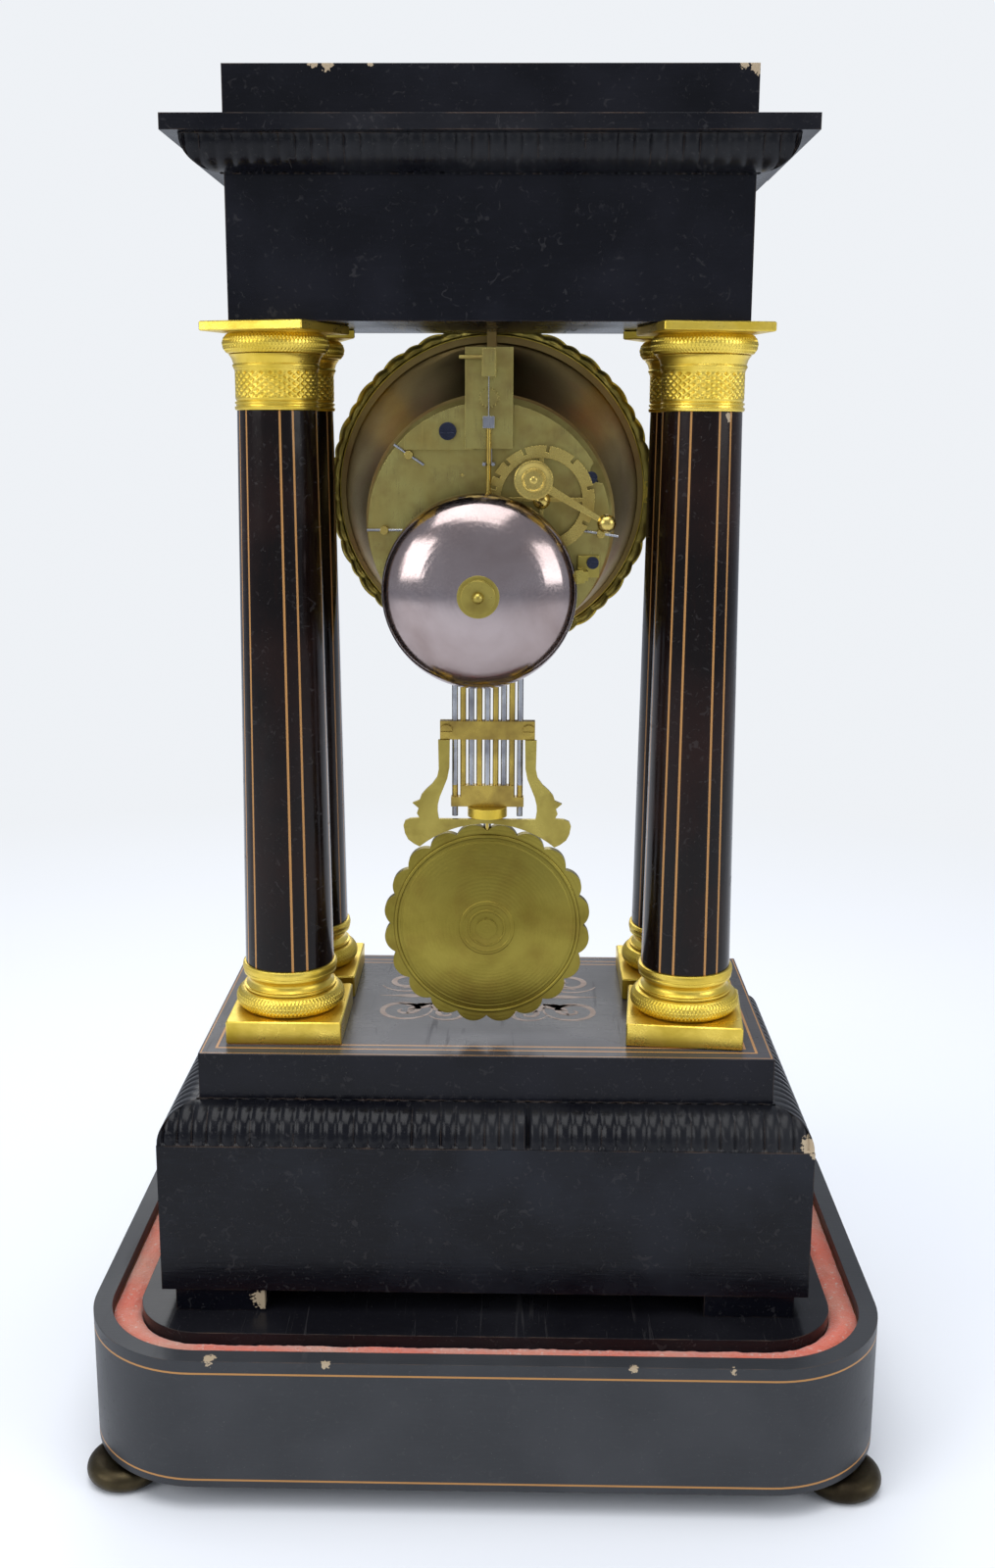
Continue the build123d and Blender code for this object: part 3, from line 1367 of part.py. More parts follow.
def lyre():
    """The flat gilt lyre between the crossbar and the bob."""
    top = crossbar_middle - crossbar_height / 2
    halves = []
    for side in (-1, 1):
        points = [(side * lyre_top_inner, top), (side * lyre_top_outer, top)]
        points += [(side * reach, -drop) for reach, drop in lyre_outer_edge]
        points += [(0, -lyre_wing_bottom), (0, -lyre_wing_top)]
        points += [(side * reach, -drop) for reach, drop in lyre_inner_edge]
        halves.append(make_face(Polyline(*points, close=True)))
    outline = halves[0] + halves[1]
    outline -= Pos(0, -bob_drop) * Circle(bob_scallop_radius + lyre_gap)
    front = pendulum_y + bob_stem_radius + running_clearance
    return flat(outline, front, front + lyre_thickness, 0, plates_z)


# Places that several pieces share
hinge_x = -(bezel_outer_radius + hinge_offset)
hinge_y = bezel_back - hinge_knuckle_radius
hinge_reach = 1.5 * hinge_knuckle_length + hinge_gap
pan_screw_places = [
    polar((0, plates_z), pan_screw_circle, bearing) for bearing in pan_screw_bearings]
cock_screw = from_plates(cock_screw_place)
stand_screw = from_plates(
    (stand_foot_place[0] - stand_screw_offset, stand_foot_place[1] + stand_screw_offset))
edge_screw = from_plates(edge_screw_place)
back_screw_places = [cock_screw, stand_screw, edge_screw]
hour_wheel_back = front_plate_front - cannon_depth - cannon_length - hour_wheel_gap
minute_wheel_front = front_plate_front - cannon_depth - cannon_length + minute_wheel_gap
minute_stud_front = hour_wheel_back - 2 * wheel_thickness
cannon_tip = surround_back - hour_hand_gap - 2 * hand_thickness - hand_spacing
bell_nut_back = bell_apex_y + bell_washer_thickness + bell_nut_height
bell_post_end = bell_nut_back - bell_post_gap

os.makedirs("parts", exist_ok=True)
make_dome_base()
make_case()
make_columns()
make_tie_rods()
make_dial_case()
make_bezel()
make_hands_and_motion_work()
make_plates()
make_going_train()
make_strike_train()
make_bell()
make_suspension()
make_pendulum()
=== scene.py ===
import math

import bmesh
import bpy
from mathutils import Matrix, Vector, noise


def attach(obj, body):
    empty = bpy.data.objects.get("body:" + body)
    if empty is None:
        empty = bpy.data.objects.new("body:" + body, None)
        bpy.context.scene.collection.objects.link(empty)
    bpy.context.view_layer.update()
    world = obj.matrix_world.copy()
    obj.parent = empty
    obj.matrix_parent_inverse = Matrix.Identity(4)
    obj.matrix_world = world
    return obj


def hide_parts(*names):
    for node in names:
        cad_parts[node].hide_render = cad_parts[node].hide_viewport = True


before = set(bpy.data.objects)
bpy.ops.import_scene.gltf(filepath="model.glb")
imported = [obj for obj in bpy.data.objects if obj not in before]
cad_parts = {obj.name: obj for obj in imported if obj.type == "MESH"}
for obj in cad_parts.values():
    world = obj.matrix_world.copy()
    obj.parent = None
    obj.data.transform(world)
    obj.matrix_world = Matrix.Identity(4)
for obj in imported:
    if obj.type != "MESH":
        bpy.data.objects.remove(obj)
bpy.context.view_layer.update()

# Sizes in millimetres, turned into metres when a mesh is made
MM = 0.001
GROOVE_FLOOR = 57.5
BOX_TOP = 137.2
PLINTH_TOP = 170.3
BASE_BLOCK_TOP = 179.9
SHAFT_BOTTOM = 199.3
SHAFT_TOP = 422.0
CAPITAL_BLOCK_BOTTOM = 451.1
FRIEZE_BOTTOM = 454.7
FRIEZE_TOP = 519.0
BASE_BLOCK_HALF = 23.45
CAPITAL_BLOCK_HALF = 21.4
FELT_PATH = (293.0, 195.0, 34.5)
RIB_PITCH = 5.8
NUMERAL_INNER = 36.4
NUMERAL_HEIGHT = 8
SURROUND_LOBES = 48
HINGE_GAP = 11.5
MARQUETRY_MIDDLE_Y = -7.0
HAMMER_HEAD = (-17.2, 396.4)
RING_STEPS = 440
DIAL_Z = 388.4
DIAL_FRONT = -44.02
SURROUND_FRONT = -49.02
SURROUND_BACK = -44.02
PENDULUM_Y = 36.98
BOB_Z = 218.35
ROD_SPACING = 3.23
COLUMN_X = 82.1
COLUMN_Y = 27.5
COLUMNS = {
    "back_left": (-COLUMN_X, COLUMN_Y),
    "back_right": (COLUMN_X, COLUMN_Y),
    "front_left": (-COLUMN_X, -COLUMN_Y),
    "front_right": (COLUMN_X, -COLUMN_Y),
}
CAPITAL_TURN = {"back_left": 9.8, "back_right": -18.4, "front_left": -24.0, "front_right": 16.0}
BASE_TURN = {"back_left": -4.9, "back_right": 0.0, "front_left": 0.0, "front_right": 0.0}
# Stringing on the shafts: bearing of the first pair and the angle from pair to pair
SHAFT_LINES = {
    "back_left": (29.0, 60.0),
    "back_right": (21.0, 72.0),
    "front_left": (10.0, 60.0),
    "front_right": (0.0, 72.0),
}


class Finish:
    """A node material with short calls for the nodes that the finishes share."""

    def __init__(self, name, metallic=0.0, **uniform):
        self.material = bpy.data.materials.new(name)
        self.material.use_nodes = True
        self.tree = self.material.node_tree
        self.shader = self.tree.nodes["Principled BSDF"]
        self.shader.inputs["Metallic"].default_value = metallic
        for socket, value in uniform.items():
            self.shader.inputs[socket.replace("_", " ")].default_value = value
        coordinates = self.node("ShaderNodeTexCoord")
        self.place = coordinates.outputs["Object"]
        split = self.node("ShaderNodeSeparateXYZ", Vector=self.place)
        self.x, self.y, self.z = split.outputs

    def node(self, kind, settings=None, **sockets):
        made = self.tree.nodes.new(kind)
        for key, value in (settings or {}).items():
            setattr(made, key, value)
        for key, value in sockets.items():
            self.put(made.inputs[key], value)
        return made

    def put(self, socket, value):
        if isinstance(value, bpy.types.NodeSocket):
            self.tree.links.new(value, socket)
        else:
            socket.default_value = value

    def sum(self, operation, *values, clamp=False):
        made = self.node("ShaderNodeMath", {"operation": operation, "use_clamp": clamp})
        for socket, value in zip(made.inputs, values):
            self.put(socket, value)
        return made.outputs[0]

    def noise(self, scale, detail=3.0, stretch=(1, 1, 1), distortion=0.0):
        """Noise whose scale is in cells per metre, stretched along an axis by a small number."""
        mapped = self.node("ShaderNodeMapping", Vector=self.place, Scale=stretch)
        made = self.node(
            "ShaderNodeTexNoise", Vector=mapped.outputs[0], Scale=scale, Detail=detail,
            Distortion=distortion)
        return made.outputs["Fac"]

    def remap(self, value, low, high, to_low=0.0, to_high=1.0):
        made = self.node("ShaderNodeMapRange")
        for socket, number in zip(made.inputs, (value, low, high, to_low, to_high)):
            self.put(socket, number)
        return made.outputs[0]

    def mix(self, share, first, second):
        made = self.node("ShaderNodeMix", {"data_type": "RGBA"})
        self.put(made.inputs[0], share)
        for socket, value in ((made.inputs[6], first), (made.inputs[7], second)):
            self.put(socket, value if isinstance(value, bpy.types.NodeSocket) else (*value, 1))
        return made.outputs[2]

    def band(self, value, middle, half):
        """1 where a value lies within half of a middle."""
        return self.sum("LESS_THAN", self.sum("ABSOLUTE", self.sum("SUBTRACT", value, middle)), half)

    def near(self, place, radius):
        """A ragged spot round a place in millimetres."""
        gap = self.node("ShaderNodeVectorMath", {"operation": "DISTANCE"})
        self.put(gap.inputs[0], self.place)
        self.put(gap.inputs[1], tuple(v * MM for v in place))
        ragged = self.sum("MULTIPLY", self.noise(900, 2), radius * MM * 1.6)
        return self.sum("LESS_THAN", gap.outputs["Value"], ragged)

    def radius_from(self, x, z):
        """Distance from an axis that runs from front to back."""
        dx = self.sum("SUBTRACT", self.x, x * MM)
        dz = self.sum("SUBTRACT", self.z, z * MM)
        return self.sum("SQRT", self.sum("ADD", self.sum("MULTIPLY", dx, dx),
                                         self.sum("MULTIPLY", dz, dz)))

    def edges(self, width):
        """1 along the sharp edges, from the difference of a rounded normal and the real one."""
        bevel = self.node("ShaderNodeBevel", {"samples": 4}, Radius=width * MM)
        geometry = self.node("ShaderNodeNewGeometry")
        dot = self.node("ShaderNodeVectorMath", {"operation": "DOT_PRODUCT"})
        self.put(dot.inputs[0], bevel.outputs[0])
        self.put(dot.inputs[1], geometry.outputs["Normal"])
        return self.remap(dot.outputs["Value"], 0.995, 0.86)

    def close(self, colour, rough, heights=(), rounded=0.0):
        """Connects the colour, the roughness and bumps of (height, size in millimetres)."""
        self.put(self.shader.inputs["Base Color"], colour)
        self.put(self.shader.inputs["Roughness"], rough)
        normal = None
        if rounded:
            normal = self.node("ShaderNodeBevel", {"samples": 4}, Radius=rounded * MM).outputs[0]
        for height, size in heights:
            bump = self.node("ShaderNodeBump", Height=height, Distance=size * MM, Strength=1.0)
            if normal is not None:
                self.put(bump.inputs["Normal"], normal)
            normal = bump.outputs[0]
        if normal is not None:
            self.put(self.shader.inputs["Normal"], normal)
        return self.material


def ebony(name, dark, dusty, chips=(), lines=None, grain=(0.12, 1, 1), wear=0.5, gloss=0.24,
          painted_reflection_above=None):
    """Ebonised wood: faint grain, dust, scratches, worn edges, pale chips, inlaid lines and, above a
    given height, a painted reflection that lightens the top.
    """
    f = Finish(name, Coat_Weight=0.05, Coat_Roughness=0.1, Specular_IOR_Level=0.17)
    cloud = f.remap(f.noise(22, 5), 0.42, 0.72)
    fibre = f.noise(900, 3, grain)
    scratch = f.remap(f.noise(260, 4, (1, 0.05, 1), 1.5), 0.62, 0.7)
    colour = f.mix(cloud, dark, dusty)
    colour = f.mix(f.sum("MULTIPLY", scratch, 0.16), colour, (0.09, 0.085, 0.085))
    colour = f.mix(f.sum("MULTIPLY", f.remap(fibre, 0.5, 0.75), 0.25), colour, dusty)
    specks = f.remap(f.noise(1500, 1), 0.74, 0.78)
    colour = f.mix(f.sum("MULTIPLY", specks, 0.22), colour, (0.2, 0.19, 0.17))
    # Above the given height the top is painted lighter grey: a painted reflection of the pale
    # surroundings, not a finish of the wood
    if painted_reflection_above is not None:
        painted_top_reflection = f.mix(cloud, (0.042, 0.040, 0.046), (0.062, 0.060, 0.068))
        colour = f.mix(f.sum("GREATER_THAN", f.z, painted_reflection_above * MM), colour, painted_top_reflection)
    rub = f.sum("MULTIPLY", f.edges(0.7), f.remap(f.noise(90, 4), 0.42, 0.62))
    colour = f.mix(f.sum("MULTIPLY", rub, wear), colour, (0.13, 0.08, 0.05))
    for place, size in chips:
        colour = f.mix(f.near(place, size), colour, (0.42, 0.33, 0.22))
    if lines is not None:
        colour = f.mix(lines(f), colour, (0.42, 0.21, 0.07))
    rough = f.sum("ADD", f.remap(cloud, 0, 1, gloss, gloss + 0.16), f.remap(scratch, 0, 1, 0, 0.15))
    return f.close(colour, rough, ((fibre, 0.05), (f.noise(60, 2), 0.15)), rounded=0.5)


def metal(name, bright, dull, rough=(0.2, 0.42), patches=None, brush=None, bumps=0.03, scale=60,
          rings=None, wear=True):
    """A metal with tarnish clouds, fine brushing or turning marks and brighter rubbed edges."""
    f = Finish(name, metallic=1.0)
    cloud = f.remap(f.noise(scale, 5, (1, 1, 1), 0.4), 0.35, 0.68)
    colour = f.mix(cloud, bright, dull)
    if patches is not None:
        colour = f.mix(f.sum("MULTIPLY", f.remap(f.noise(scale * 2.3, 4), 0.48, 0.74), 0.45),
                       colour, patches)
    if wear:
        rubbed = tuple(min(1, c * 1.35) for c in bright)
        colour = f.mix(f.sum("MULTIPLY", f.edges(0.35), 0.5), colour, rubbed)
    marks = f.noise(1400, 2, brush or (1, 1, 1))
    heights = [(marks, bumps)]
    if rings is not None:
        middle_x, middle_z, count, size = rings
        wave = f.sum("SINE", f.sum("MULTIPLY", f.radius_from(middle_x, middle_z), count))
        heights.append((wave, size))
    roughness = f.sum("ADD", f.remap(cloud, 0, 1, *rough), f.remap(marks, 0.3, 0.7, -0.05, 0.08))
    return f.close(colour, roughness, heights, rounded=0.25)


def base_lines(f):
    """Two inlaid lines round the side of the dome base."""
    return f.sum("MAXIMUM", f.band(f.z, 0.0602, 0.0004), f.band(f.z, 0.0142, 0.0004))


def plinth_lines(f):
    """Inlaid rectangles on top of the plinth."""
    on_top = f.sum("GREATER_THAN", f.z, (PLINTH_TOP - 0.2) * MM)
    reach_x = f.sum("SUBTRACT", 0.1151, f.sum("ABSOLUTE", f.x))
    reach_y = f.sum("SUBTRACT", 0.06085, f.sum("ABSOLUTE", f.y))
    inset = f.sum("MINIMUM", reach_x, reach_y)
    lines = f.sum("MAXIMUM", f.band(inset, 0.0063, 0.0005), f.band(inset, 0.0105, 0.0005))
    lines = f.sum("MAXIMUM", lines, f.band(inset, 0.0009, 0.00025))
    return f.sum("MULTIPLY", lines, on_top)


def shaft_finish(name, x, y, first, step):
    """Dark glossy wood with pairs of inlaid lines that run up the column."""

    def lines(f):
        dx = f.sum("SUBTRACT", x * MM, f.x)
        dy = f.sum("SUBTRACT", f.y, y * MM)
        bearing = f.sum("ARCTAN2", dx, dy)
        turned = f.sum("ADD", f.sum("SUBTRACT", bearing, math.radians(first)), 4 * math.pi)
        within = f.sum("MODULO", f.sum("ADD", turned, math.radians(step / 2)), math.radians(step))
        offset = f.sum("ABSOLUTE", f.sum("SUBTRACT", within, math.radians(step / 2)))
        return f.band(offset, math.radians(9.5), math.radians(1.5))

    chips = (((x - 9, y + 13, 420), 2.0),) if name.endswith("back_left") else ()
    return ebony(name, (0.004, 0.0022, 0.002), (0.014, 0.0045, 0.003), chips, lines,
                 grain=(1, 1, 0.1), wear=0.25, gloss=0.14)


def enamel():
    """White enamel with a black minute track and faint crazing."""
    f = Finish("enamel_white", Coat_Weight=0.6, Coat_Roughness=0.05)
    radius = f.radius_from(0, DIAL_Z)
    bearing = f.sum("ARCTAN2", f.x, f.sum("SUBTRACT", f.z, DIAL_Z * MM))
    minute = math.radians(6)
    turned = f.sum("MODULO", f.sum("ADD", bearing, 4 * math.pi + minute / 2), minute)
    tick = f.sum("MULTIPLY", f.band(turned, minute / 2, 0.005), f.band(radius, 0.0478, 0.0011))
    track = f.sum("MAXIMUM", f.band(radius, 0.0467, 0.00013), f.band(radius, 0.0489, 0.00013))
    front = f.sum("LESS_THAN", f.y, (DIAL_FRONT + 0.2) * MM)
    ink = f.sum("MULTIPLY", f.sum("MAXIMUM", track, tick), front)
    cloud = f.remap(f.noise(40, 3), 0.3, 0.7)
    colour = f.mix(ink, f.mix(cloud, (0.82, 0.8, 0.74), (0.74, 0.71, 0.62)), (0.01, 0.01, 0.012))
    return f.close(colour, f.remap(cloud, 0, 1, 0.12, 0.2), ((f.noise(300, 2), 0.01),))


def gridiron_finish():
    """Brass bars with rods that are steel and brass in turn."""
    f = Finish("gridiron_steel_and_brass", metallic=1.0)
    number = f.sum("ROUND", f.sum("DIVIDE", f.x, ROD_SPACING * MM))
    even = f.sum("LESS_THAN", f.sum("ABSOLUTE", f.sum("MODULO", number, 2.0)), 0.5)
    thin = f.band(f.y, PENDULUM_Y * MM, 0.00135)
    bare = f.band(f.z, 0.33755, 0.0353)
    bare = f.sum("MAXIMUM", bare, f.band(f.z, 0.28545, 0.0093))
    bare = f.sum("MAXIMUM", bare, f.sum("LESS_THAN", f.z, 0.2674))
    steel = f.sum("MULTIPLY", f.sum("MULTIPLY", even, thin), bare)
    cloud = f.remap(f.noise(120, 4), 0.35, 0.7)
    brass = f.mix(cloud, (0.5, 0.36, 0.08), (0.28, 0.19, 0.05))
    grey = f.mix(cloud, (0.42, 0.43, 0.45), (0.2, 0.2, 0.22))
    marks = f.noise(1600, 2, (1, 1, 0.1))
    return f.close(f.mix(steel, brass, grey), f.remap(cloud, 0, 1, 0.22, 0.4), ((marks, 0.03),), 0.2)


def felt_finish():
    """Coral pile, faded and dusty in places."""
    f = Finish("felt_coral", Sheen_Weight=0.4, Sheen_Roughness=0.5)
    fade = f.remap(f.noise(28, 5), 0.4, 0.68)
    pile = f.noise(2600, 2)
    colour = f.mix(fade, (0.72, 0.14, 0.075), (0.6, 0.31, 0.22))
    colour = f.mix(f.remap(f.noise(700, 2), 0.62, 0.72), colour, (0.66, 0.5, 0.42))
    return f.close(colour, 0.95, ((pile, 0.5), (f.noise(900, 2), 0.4)))


def glass_finish():
    """Clear glass with faint unevenness."""
    f = Finish("clear_glass", Transmission_Weight=1.0, IOR=1.45)
    haze = f.noise(18, 2)
    return f.close((1.0, 1.0, 1.0, 1), f.remap(haze, 0.3, 0.7, 0.0, 0.03), ((haze, 0.02),))


def inlay_finish():
    """Pale marquetry wood with a pinkish cast."""
    f = Finish("marquetry_inlay")
    fibre = f.noise(700, 3, (0.2, 1, 1))
    colour = f.mix(f.remap(fibre, 0.35, 0.7), (0.42, 0.29, 0.22), (0.28, 0.18, 0.13))
    return f.close(colour, f.remap(fibre, 0.3, 0.7, 0.35, 0.5), ((fibre, 0.02),))


# Colour of the pale surroundings, and of ebonised wood where it is clean and dusty
SURROUNDINGS = (0.86, 0.885, 0.92, 1)
BLACK = (0.0026, 0.0027, 0.0048)
DUST = (0.0075, 0.0078, 0.0125)
GREY_SIDE = (0.046, 0.048, 0.053)
top_chips = (
    ((59, 41, 545), 3.2), ((64, 41, 545), 2.2), ((43, 41, 545), 1.6), ((-97, 41, 544), 3.6),
    ((-92, 41, 545), 2.2))
frieze_wood = ebony("ebony_frieze", BLACK, DUST)
top_wood = ebony("ebony_top_block", BLACK, DUST, top_chips)
slab_wood = ebony("ebony_slab", BLACK, (0.012, 0.012, 0.015), wear=0.8)
box_wood = ebony("ebony_lower_box", BLACK, (0.012, 0.014, 0.02), (((-130, 75, 137), 2.6),))
foot_wood = ebony("ebony_block_feet", BLACK, DUST, (((89.5, 75, 71), 5.0),))
# The plinth's top is painted lighter grey as a painted reflection
plinth_wood = ebony("ebony_plinth", BLACK, DUST, (), plinth_lines, painted_reflection_above=PLINTH_TOP - 0.2)
ripple_wood = ebony("ebony_ripple", BLACK, (0.012, 0.0125, 0.015), (((-128, 74, 140), 4.5),), wear=0.35)
rim_chips = (((105, 109, 65), 3.0), ((60, 111, 65), 2.2), ((-58, 111, 65), 2.0), ((-96, 110, 64), 1.8))
base_wood = ebony(
    "ebony_dome_base", (0.034, 0.036, 0.040), GREY_SIDE, rim_chips, base_lines, wear=0.5, gloss=0.36)
platform_wood = ebony("ebony_platform", (0.006, 0.006, 0.008), (0.012, 0.012, 0.015), gloss=0.18)
gilt = metal("gilt_brass", (0.86, 0.64, 0.12), (0.62, 0.44, 0.05), (0.26, 0.42), bumps=0.04)
plate_brass = metal(
    "movement_brass", (0.42, 0.36, 0.12), (0.30, 0.23, 0.07), (0.26, 0.42), (0.2, 0.12, 0.045),
    brush=(1, 1, 0.08))
wheel_brass = metal("wheel_brass", (0.62, 0.48, 0.14), (0.42, 0.30, 0.08), (0.2, 0.34))
# The reddish patches on the pan are partly copper tarnish and partly painted reflection, standing in
# for orange-red reflections in the bowl
pan_brass = metal(
    "pan_brass", (0.40, 0.29, 0.10), (0.26, 0.17, 0.06), (0.38, 0.52), (0.34, 0.12, 0.05), scale=18)
bob_brass = metal(
    "bob_brass", (0.29, 0.235, 0.045), (0.2, 0.155, 0.025), (0.34, 0.5), (0.17, 0.10, 0.02), scale=30,
    rings=(0, BOB_Z, 4200, 0.012))
cast_brass = metal(
    "cast_brass", (0.46, 0.37, 0.09), (0.30, 0.23, 0.05), (0.28, 0.46), (0.17, 0.11, 0.03))
bell_silver = metal(
    "bell_metal", (0.40, 0.335, 0.33), (0.27, 0.21, 0.20), (0.1, 0.2), None, bumps=0.006, scale=30,
    rings=(3.3, 353.8, 3000, 0.004), wear=False)
steel = metal("steel", (0.42, 0.43, 0.46), (0.2, 0.2, 0.22), (0.2, 0.36), brush=(1, 1, 0.1))
blued = metal("blued_steel", (0.05, 0.055, 0.085), (0.03, 0.032, 0.045), (0.16, 0.3))
bronze = metal("dark_bronze", (0.07, 0.055, 0.03), (0.03, 0.023, 0.014), (0.35, 0.55))
iron = metal("dark_iron", (0.12, 0.11, 0.10), (0.05, 0.04, 0.035), (0.45, 0.65))
felt_coat = felt_finish()
inlay = inlay_finish()

LOOKS = {
    base_wood: ["dome_base_frame"],
    platform_wood: ["dome_base_platform"],
    bronze: ["bun_feet"],
    foot_wood: ["block_feet"],
    box_wood: ["lower_box"],
    plinth_wood: ["upper_plinth"],
    frieze_wood: ["frieze_box"],
    slab_wood: ["cornice_slab"],
    top_wood: ["top_block"],
    iron: ["column_tie_rods"],
    gilt: ["dial_surround", "glass_bezel", "bezel_hinge_pin", "rating_nut"],
    pan_brass: ["dial_pan", "dial_hanger"],
    enamel(): ["dial_plate"],
    plate_brass: ["front_plate", "back_plate", "suspension_cock"],
    cast_brass: ["bell_stand", "bell_nut", "pendulum_lyre"],
    wheel_brass: [
        "plate_pillars", "minute_wheel", "going_barrel", "intermediate_wheel", "third_wheel",
        "escape_wheel", "strike_barrel", "count_wheel", "pin_wheel", "fly", "centre_wheel", "hammer"],
    steel: ["pillar_pins", "suspension_spring", "pallet_arbor"],
    blued: ["movement_screws", "hour_hand", "minute_hand"],
    bell_silver: ["bell"],
    gridiron_finish(): ["pendulum_gridiron"],
    bob_brass: ["pendulum_bob"],
    glass_finish(): ["bezel_glass"],
}


def dress(node, material):
    """Puts one material on a node of the frame."""
    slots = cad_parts[node].data.materials
    slots.clear()
    slots.append(material)


for material, nodes in LOOKS.items():
    for node in nodes:
        dress(node, material)
for name, (x, y) in COLUMNS.items():
    first, step = SHAFT_LINES[name]
    dress("column_shaft_" + name, shaft_finish("shaft_wood_" + name, x, y, first, step))


class Shape:
    """Points and faces in millimetres, gathered into one piece."""

    def __init__(self):
        self.points = []
        self.faces = []

    def grid(self, rows, wrap_rows=False, wrap_columns=False):
        """Faces between rows of points that have the same count."""
        start = len(self.points)
        count = len(rows[0])
        for row in rows:
            self.points.extend(row)
        row_steps = len(rows) if wrap_rows else len(rows) - 1
        column_steps = count if wrap_columns else count - 1
        for i in range(row_steps):
            near = start + i * count
            far = start + (i + 1) % len(rows) * count
            for j in range(column_steps):
                k = (j + 1) % count
                self.faces.append((near + j, near + k, far + k, far + j))

    def stack(self, rings):
        """Closed rings joined to each other, with the two ends capped."""
        start = len(self.points)
        self.grid(rings, wrap_columns=True)
        count = len(rings[0])
        last = start + (len(rings) - 1) * count
        self.faces.append(tuple(range(start, start + count)))
        self.faces.append(tuple(range(last, last + count)))

    def make(self, name, material, body, replaces=(), sharp=35):
        mesh = bpy.data.meshes.new(name)
        mesh.from_pydata([tuple(c * MM for c in p) for p in self.points], [], self.faces)
        work = bmesh.new()
        work.from_mesh(mesh)
        bmesh.ops.remove_doubles(work, verts=work.verts, dist=2e-6)
        bmesh.ops.dissolve_degenerate(work, edges=work.edges, dist=1e-7)
        bmesh.ops.recalc_face_normals(work, faces=work.faces)
        work.to_mesh(mesh)
        work.free()
        mesh.polygons.foreach_set("use_smooth", [True] * len(mesh.polygons))
        mesh.set_sharp_from_angle(angle=math.radians(sharp))
        mesh.materials.append(material)
        piece = bpy.data.objects.new(name, mesh)
        bpy.context.scene.collection.objects.link(piece)
        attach(piece, body)
        if replaces:
            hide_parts(*replaces)
        return piece


def chamfered_square(half, cut, turn, x, y, z):
    """The eight corners of a square with its corners cut, turned about its middle."""
    corners = [
        (half, half - cut), (half - cut, half), (cut - half, half), (-half, half - cut),
        (-half, cut - half), (cut - half, -half), (half - cut, -half), (half, cut - half)]
    angle = math.radians(turn)
    c, s = math.cos(angle), math.sin(angle)
    return [(x + a * c - b * s, y + a * s + b * c, z) for a, b in corners]


def slab_rings(half, cut, bottom, top, turn, x, y):
    """A square block with small worn edges."""
    levels = ((bottom, half - cut), (bottom + cut, half), (top - cut, half), (top, half - cut))
    return [chamfered_square(size, cut, turn, x, y, z) for z, size in levels]


def turned_rings(outline, x, y, count, relief=None):
    """Rings round an upright axis from (radius, height) points, with a relief by angle."""
    rings = []
    for radius, z in outline:
        ring = []
        for i in range(count):
            angle = 2 * math.pi * i / count
            r = radius + (relief(angle, z) if relief else 0.0)
            ring.append((x + r * math.cos(angle), y + r * math.sin(angle), z))
        rings.append(ring)
    return rings


def knurl(angle, z, count, pitch, depth):
    """Crossed grooves that leave small diamonds."""
    a = count * angle / 2
    b = math.pi * z / pitch
    return -depth * (1 - abs(math.sin(a + b) * math.sin(a - b)))


def steps_between(low, high, step):
    count = max(1, round((high - low) / step))
    return [low + (high - low) * i / count for i in range(count + 1)]


def base_outline():
    """Outline of the turned part of a column base."""
    outline = [(18.4, BASE_BLOCK_TOP)]
    for i in range(25):
        angle = math.pi * (-0.5 + i / 24)
        outline.append((18.2 + 4.3 * math.cos(angle), 184.2 + 4.3 * math.sin(angle)))
    outline += [(18.2, 188.6), (19.0, 188.7), (19.1, 189.6), (18.1, 189.8)]
    for i in range(9):
        t = i / 8
        outline.append((18.2 - 1.5 * math.sin(math.pi * t) + 0.5 * t, 189.9 + 4.6 * t))
    outline += [(19.0, 194.7), (19.1, 195.6), (18.9, 195.8)]
    outline += [(19.2 + 0.3 * math.sin(math.pi * i / 8), 196.0 + 3.0 * i / 8) for i in range(9)]
    outline += [(18.9, SHAFT_BOTTOM - 0.1), (18.4, SHAFT_BOTTOM)]
    return outline


def base_relief(angle, z):
    if 180.6 < z < 187.8:
        return knurl(angle, z, 88, 1.9, 0.5)
    if 196.2 < z < 198.8:
        return knurl(angle, z, 150, 1.3, 0.22)
    return 0.0


def capital_outline():
    """Outline of the turned part of a capital."""
    outline = [(15.6, SHAFT_TOP), (16.0, 422.2), (16.2, 422.6), (16.2, 423.4), (15.7, 423.6)]
    outline += [(15.6, 424.2), (16.1, 424.5), (16.1, 425.2), (15.4, 425.5)]
    outline += [(15.9, z) for z in steps_between(426.4, 436.6, 0.35)]
    outline += [(16.0, 437.2), (16.3, 437.6)]
    outline += [(16.3 + 0.5 * math.sin(math.pi * i / 6), 437.9 + 1.6 * i / 6) for i in range(7)]
    outline += [(16.5, 439.8), (16.9, 441.2), (17.6, 442.3), (18.1, 442.8)]
    for i in range(18):
        angle = math.pi * (-0.5 + 0.9 * i / 17)
        outline.append((17.2 + 3.4 * math.cos(angle), 446.9 + 3.9 * math.sin(angle)))
    outline += [(18.2, 450.9), (18.0, CAPITAL_BLOCK_BOTTOM)]
    return outline


def capital_relief(angle, z):
    if 426.9 < z < 436.3:
        over = math.sin(13 * angle + 1.2 * z)
        under = math.sin(13 * angle - 1.2 * z)
        return -0.75 * (1 - max(abs(over), abs(under)) ** 2)
    if 438.0 < z < 439.4:
        return knurl(angle, z, 150, 1.0, 0.2)
    if 443.6 < z < 450.2:
        return knurl(angle, z, 88, 1.8, 0.5)
    return 0.0


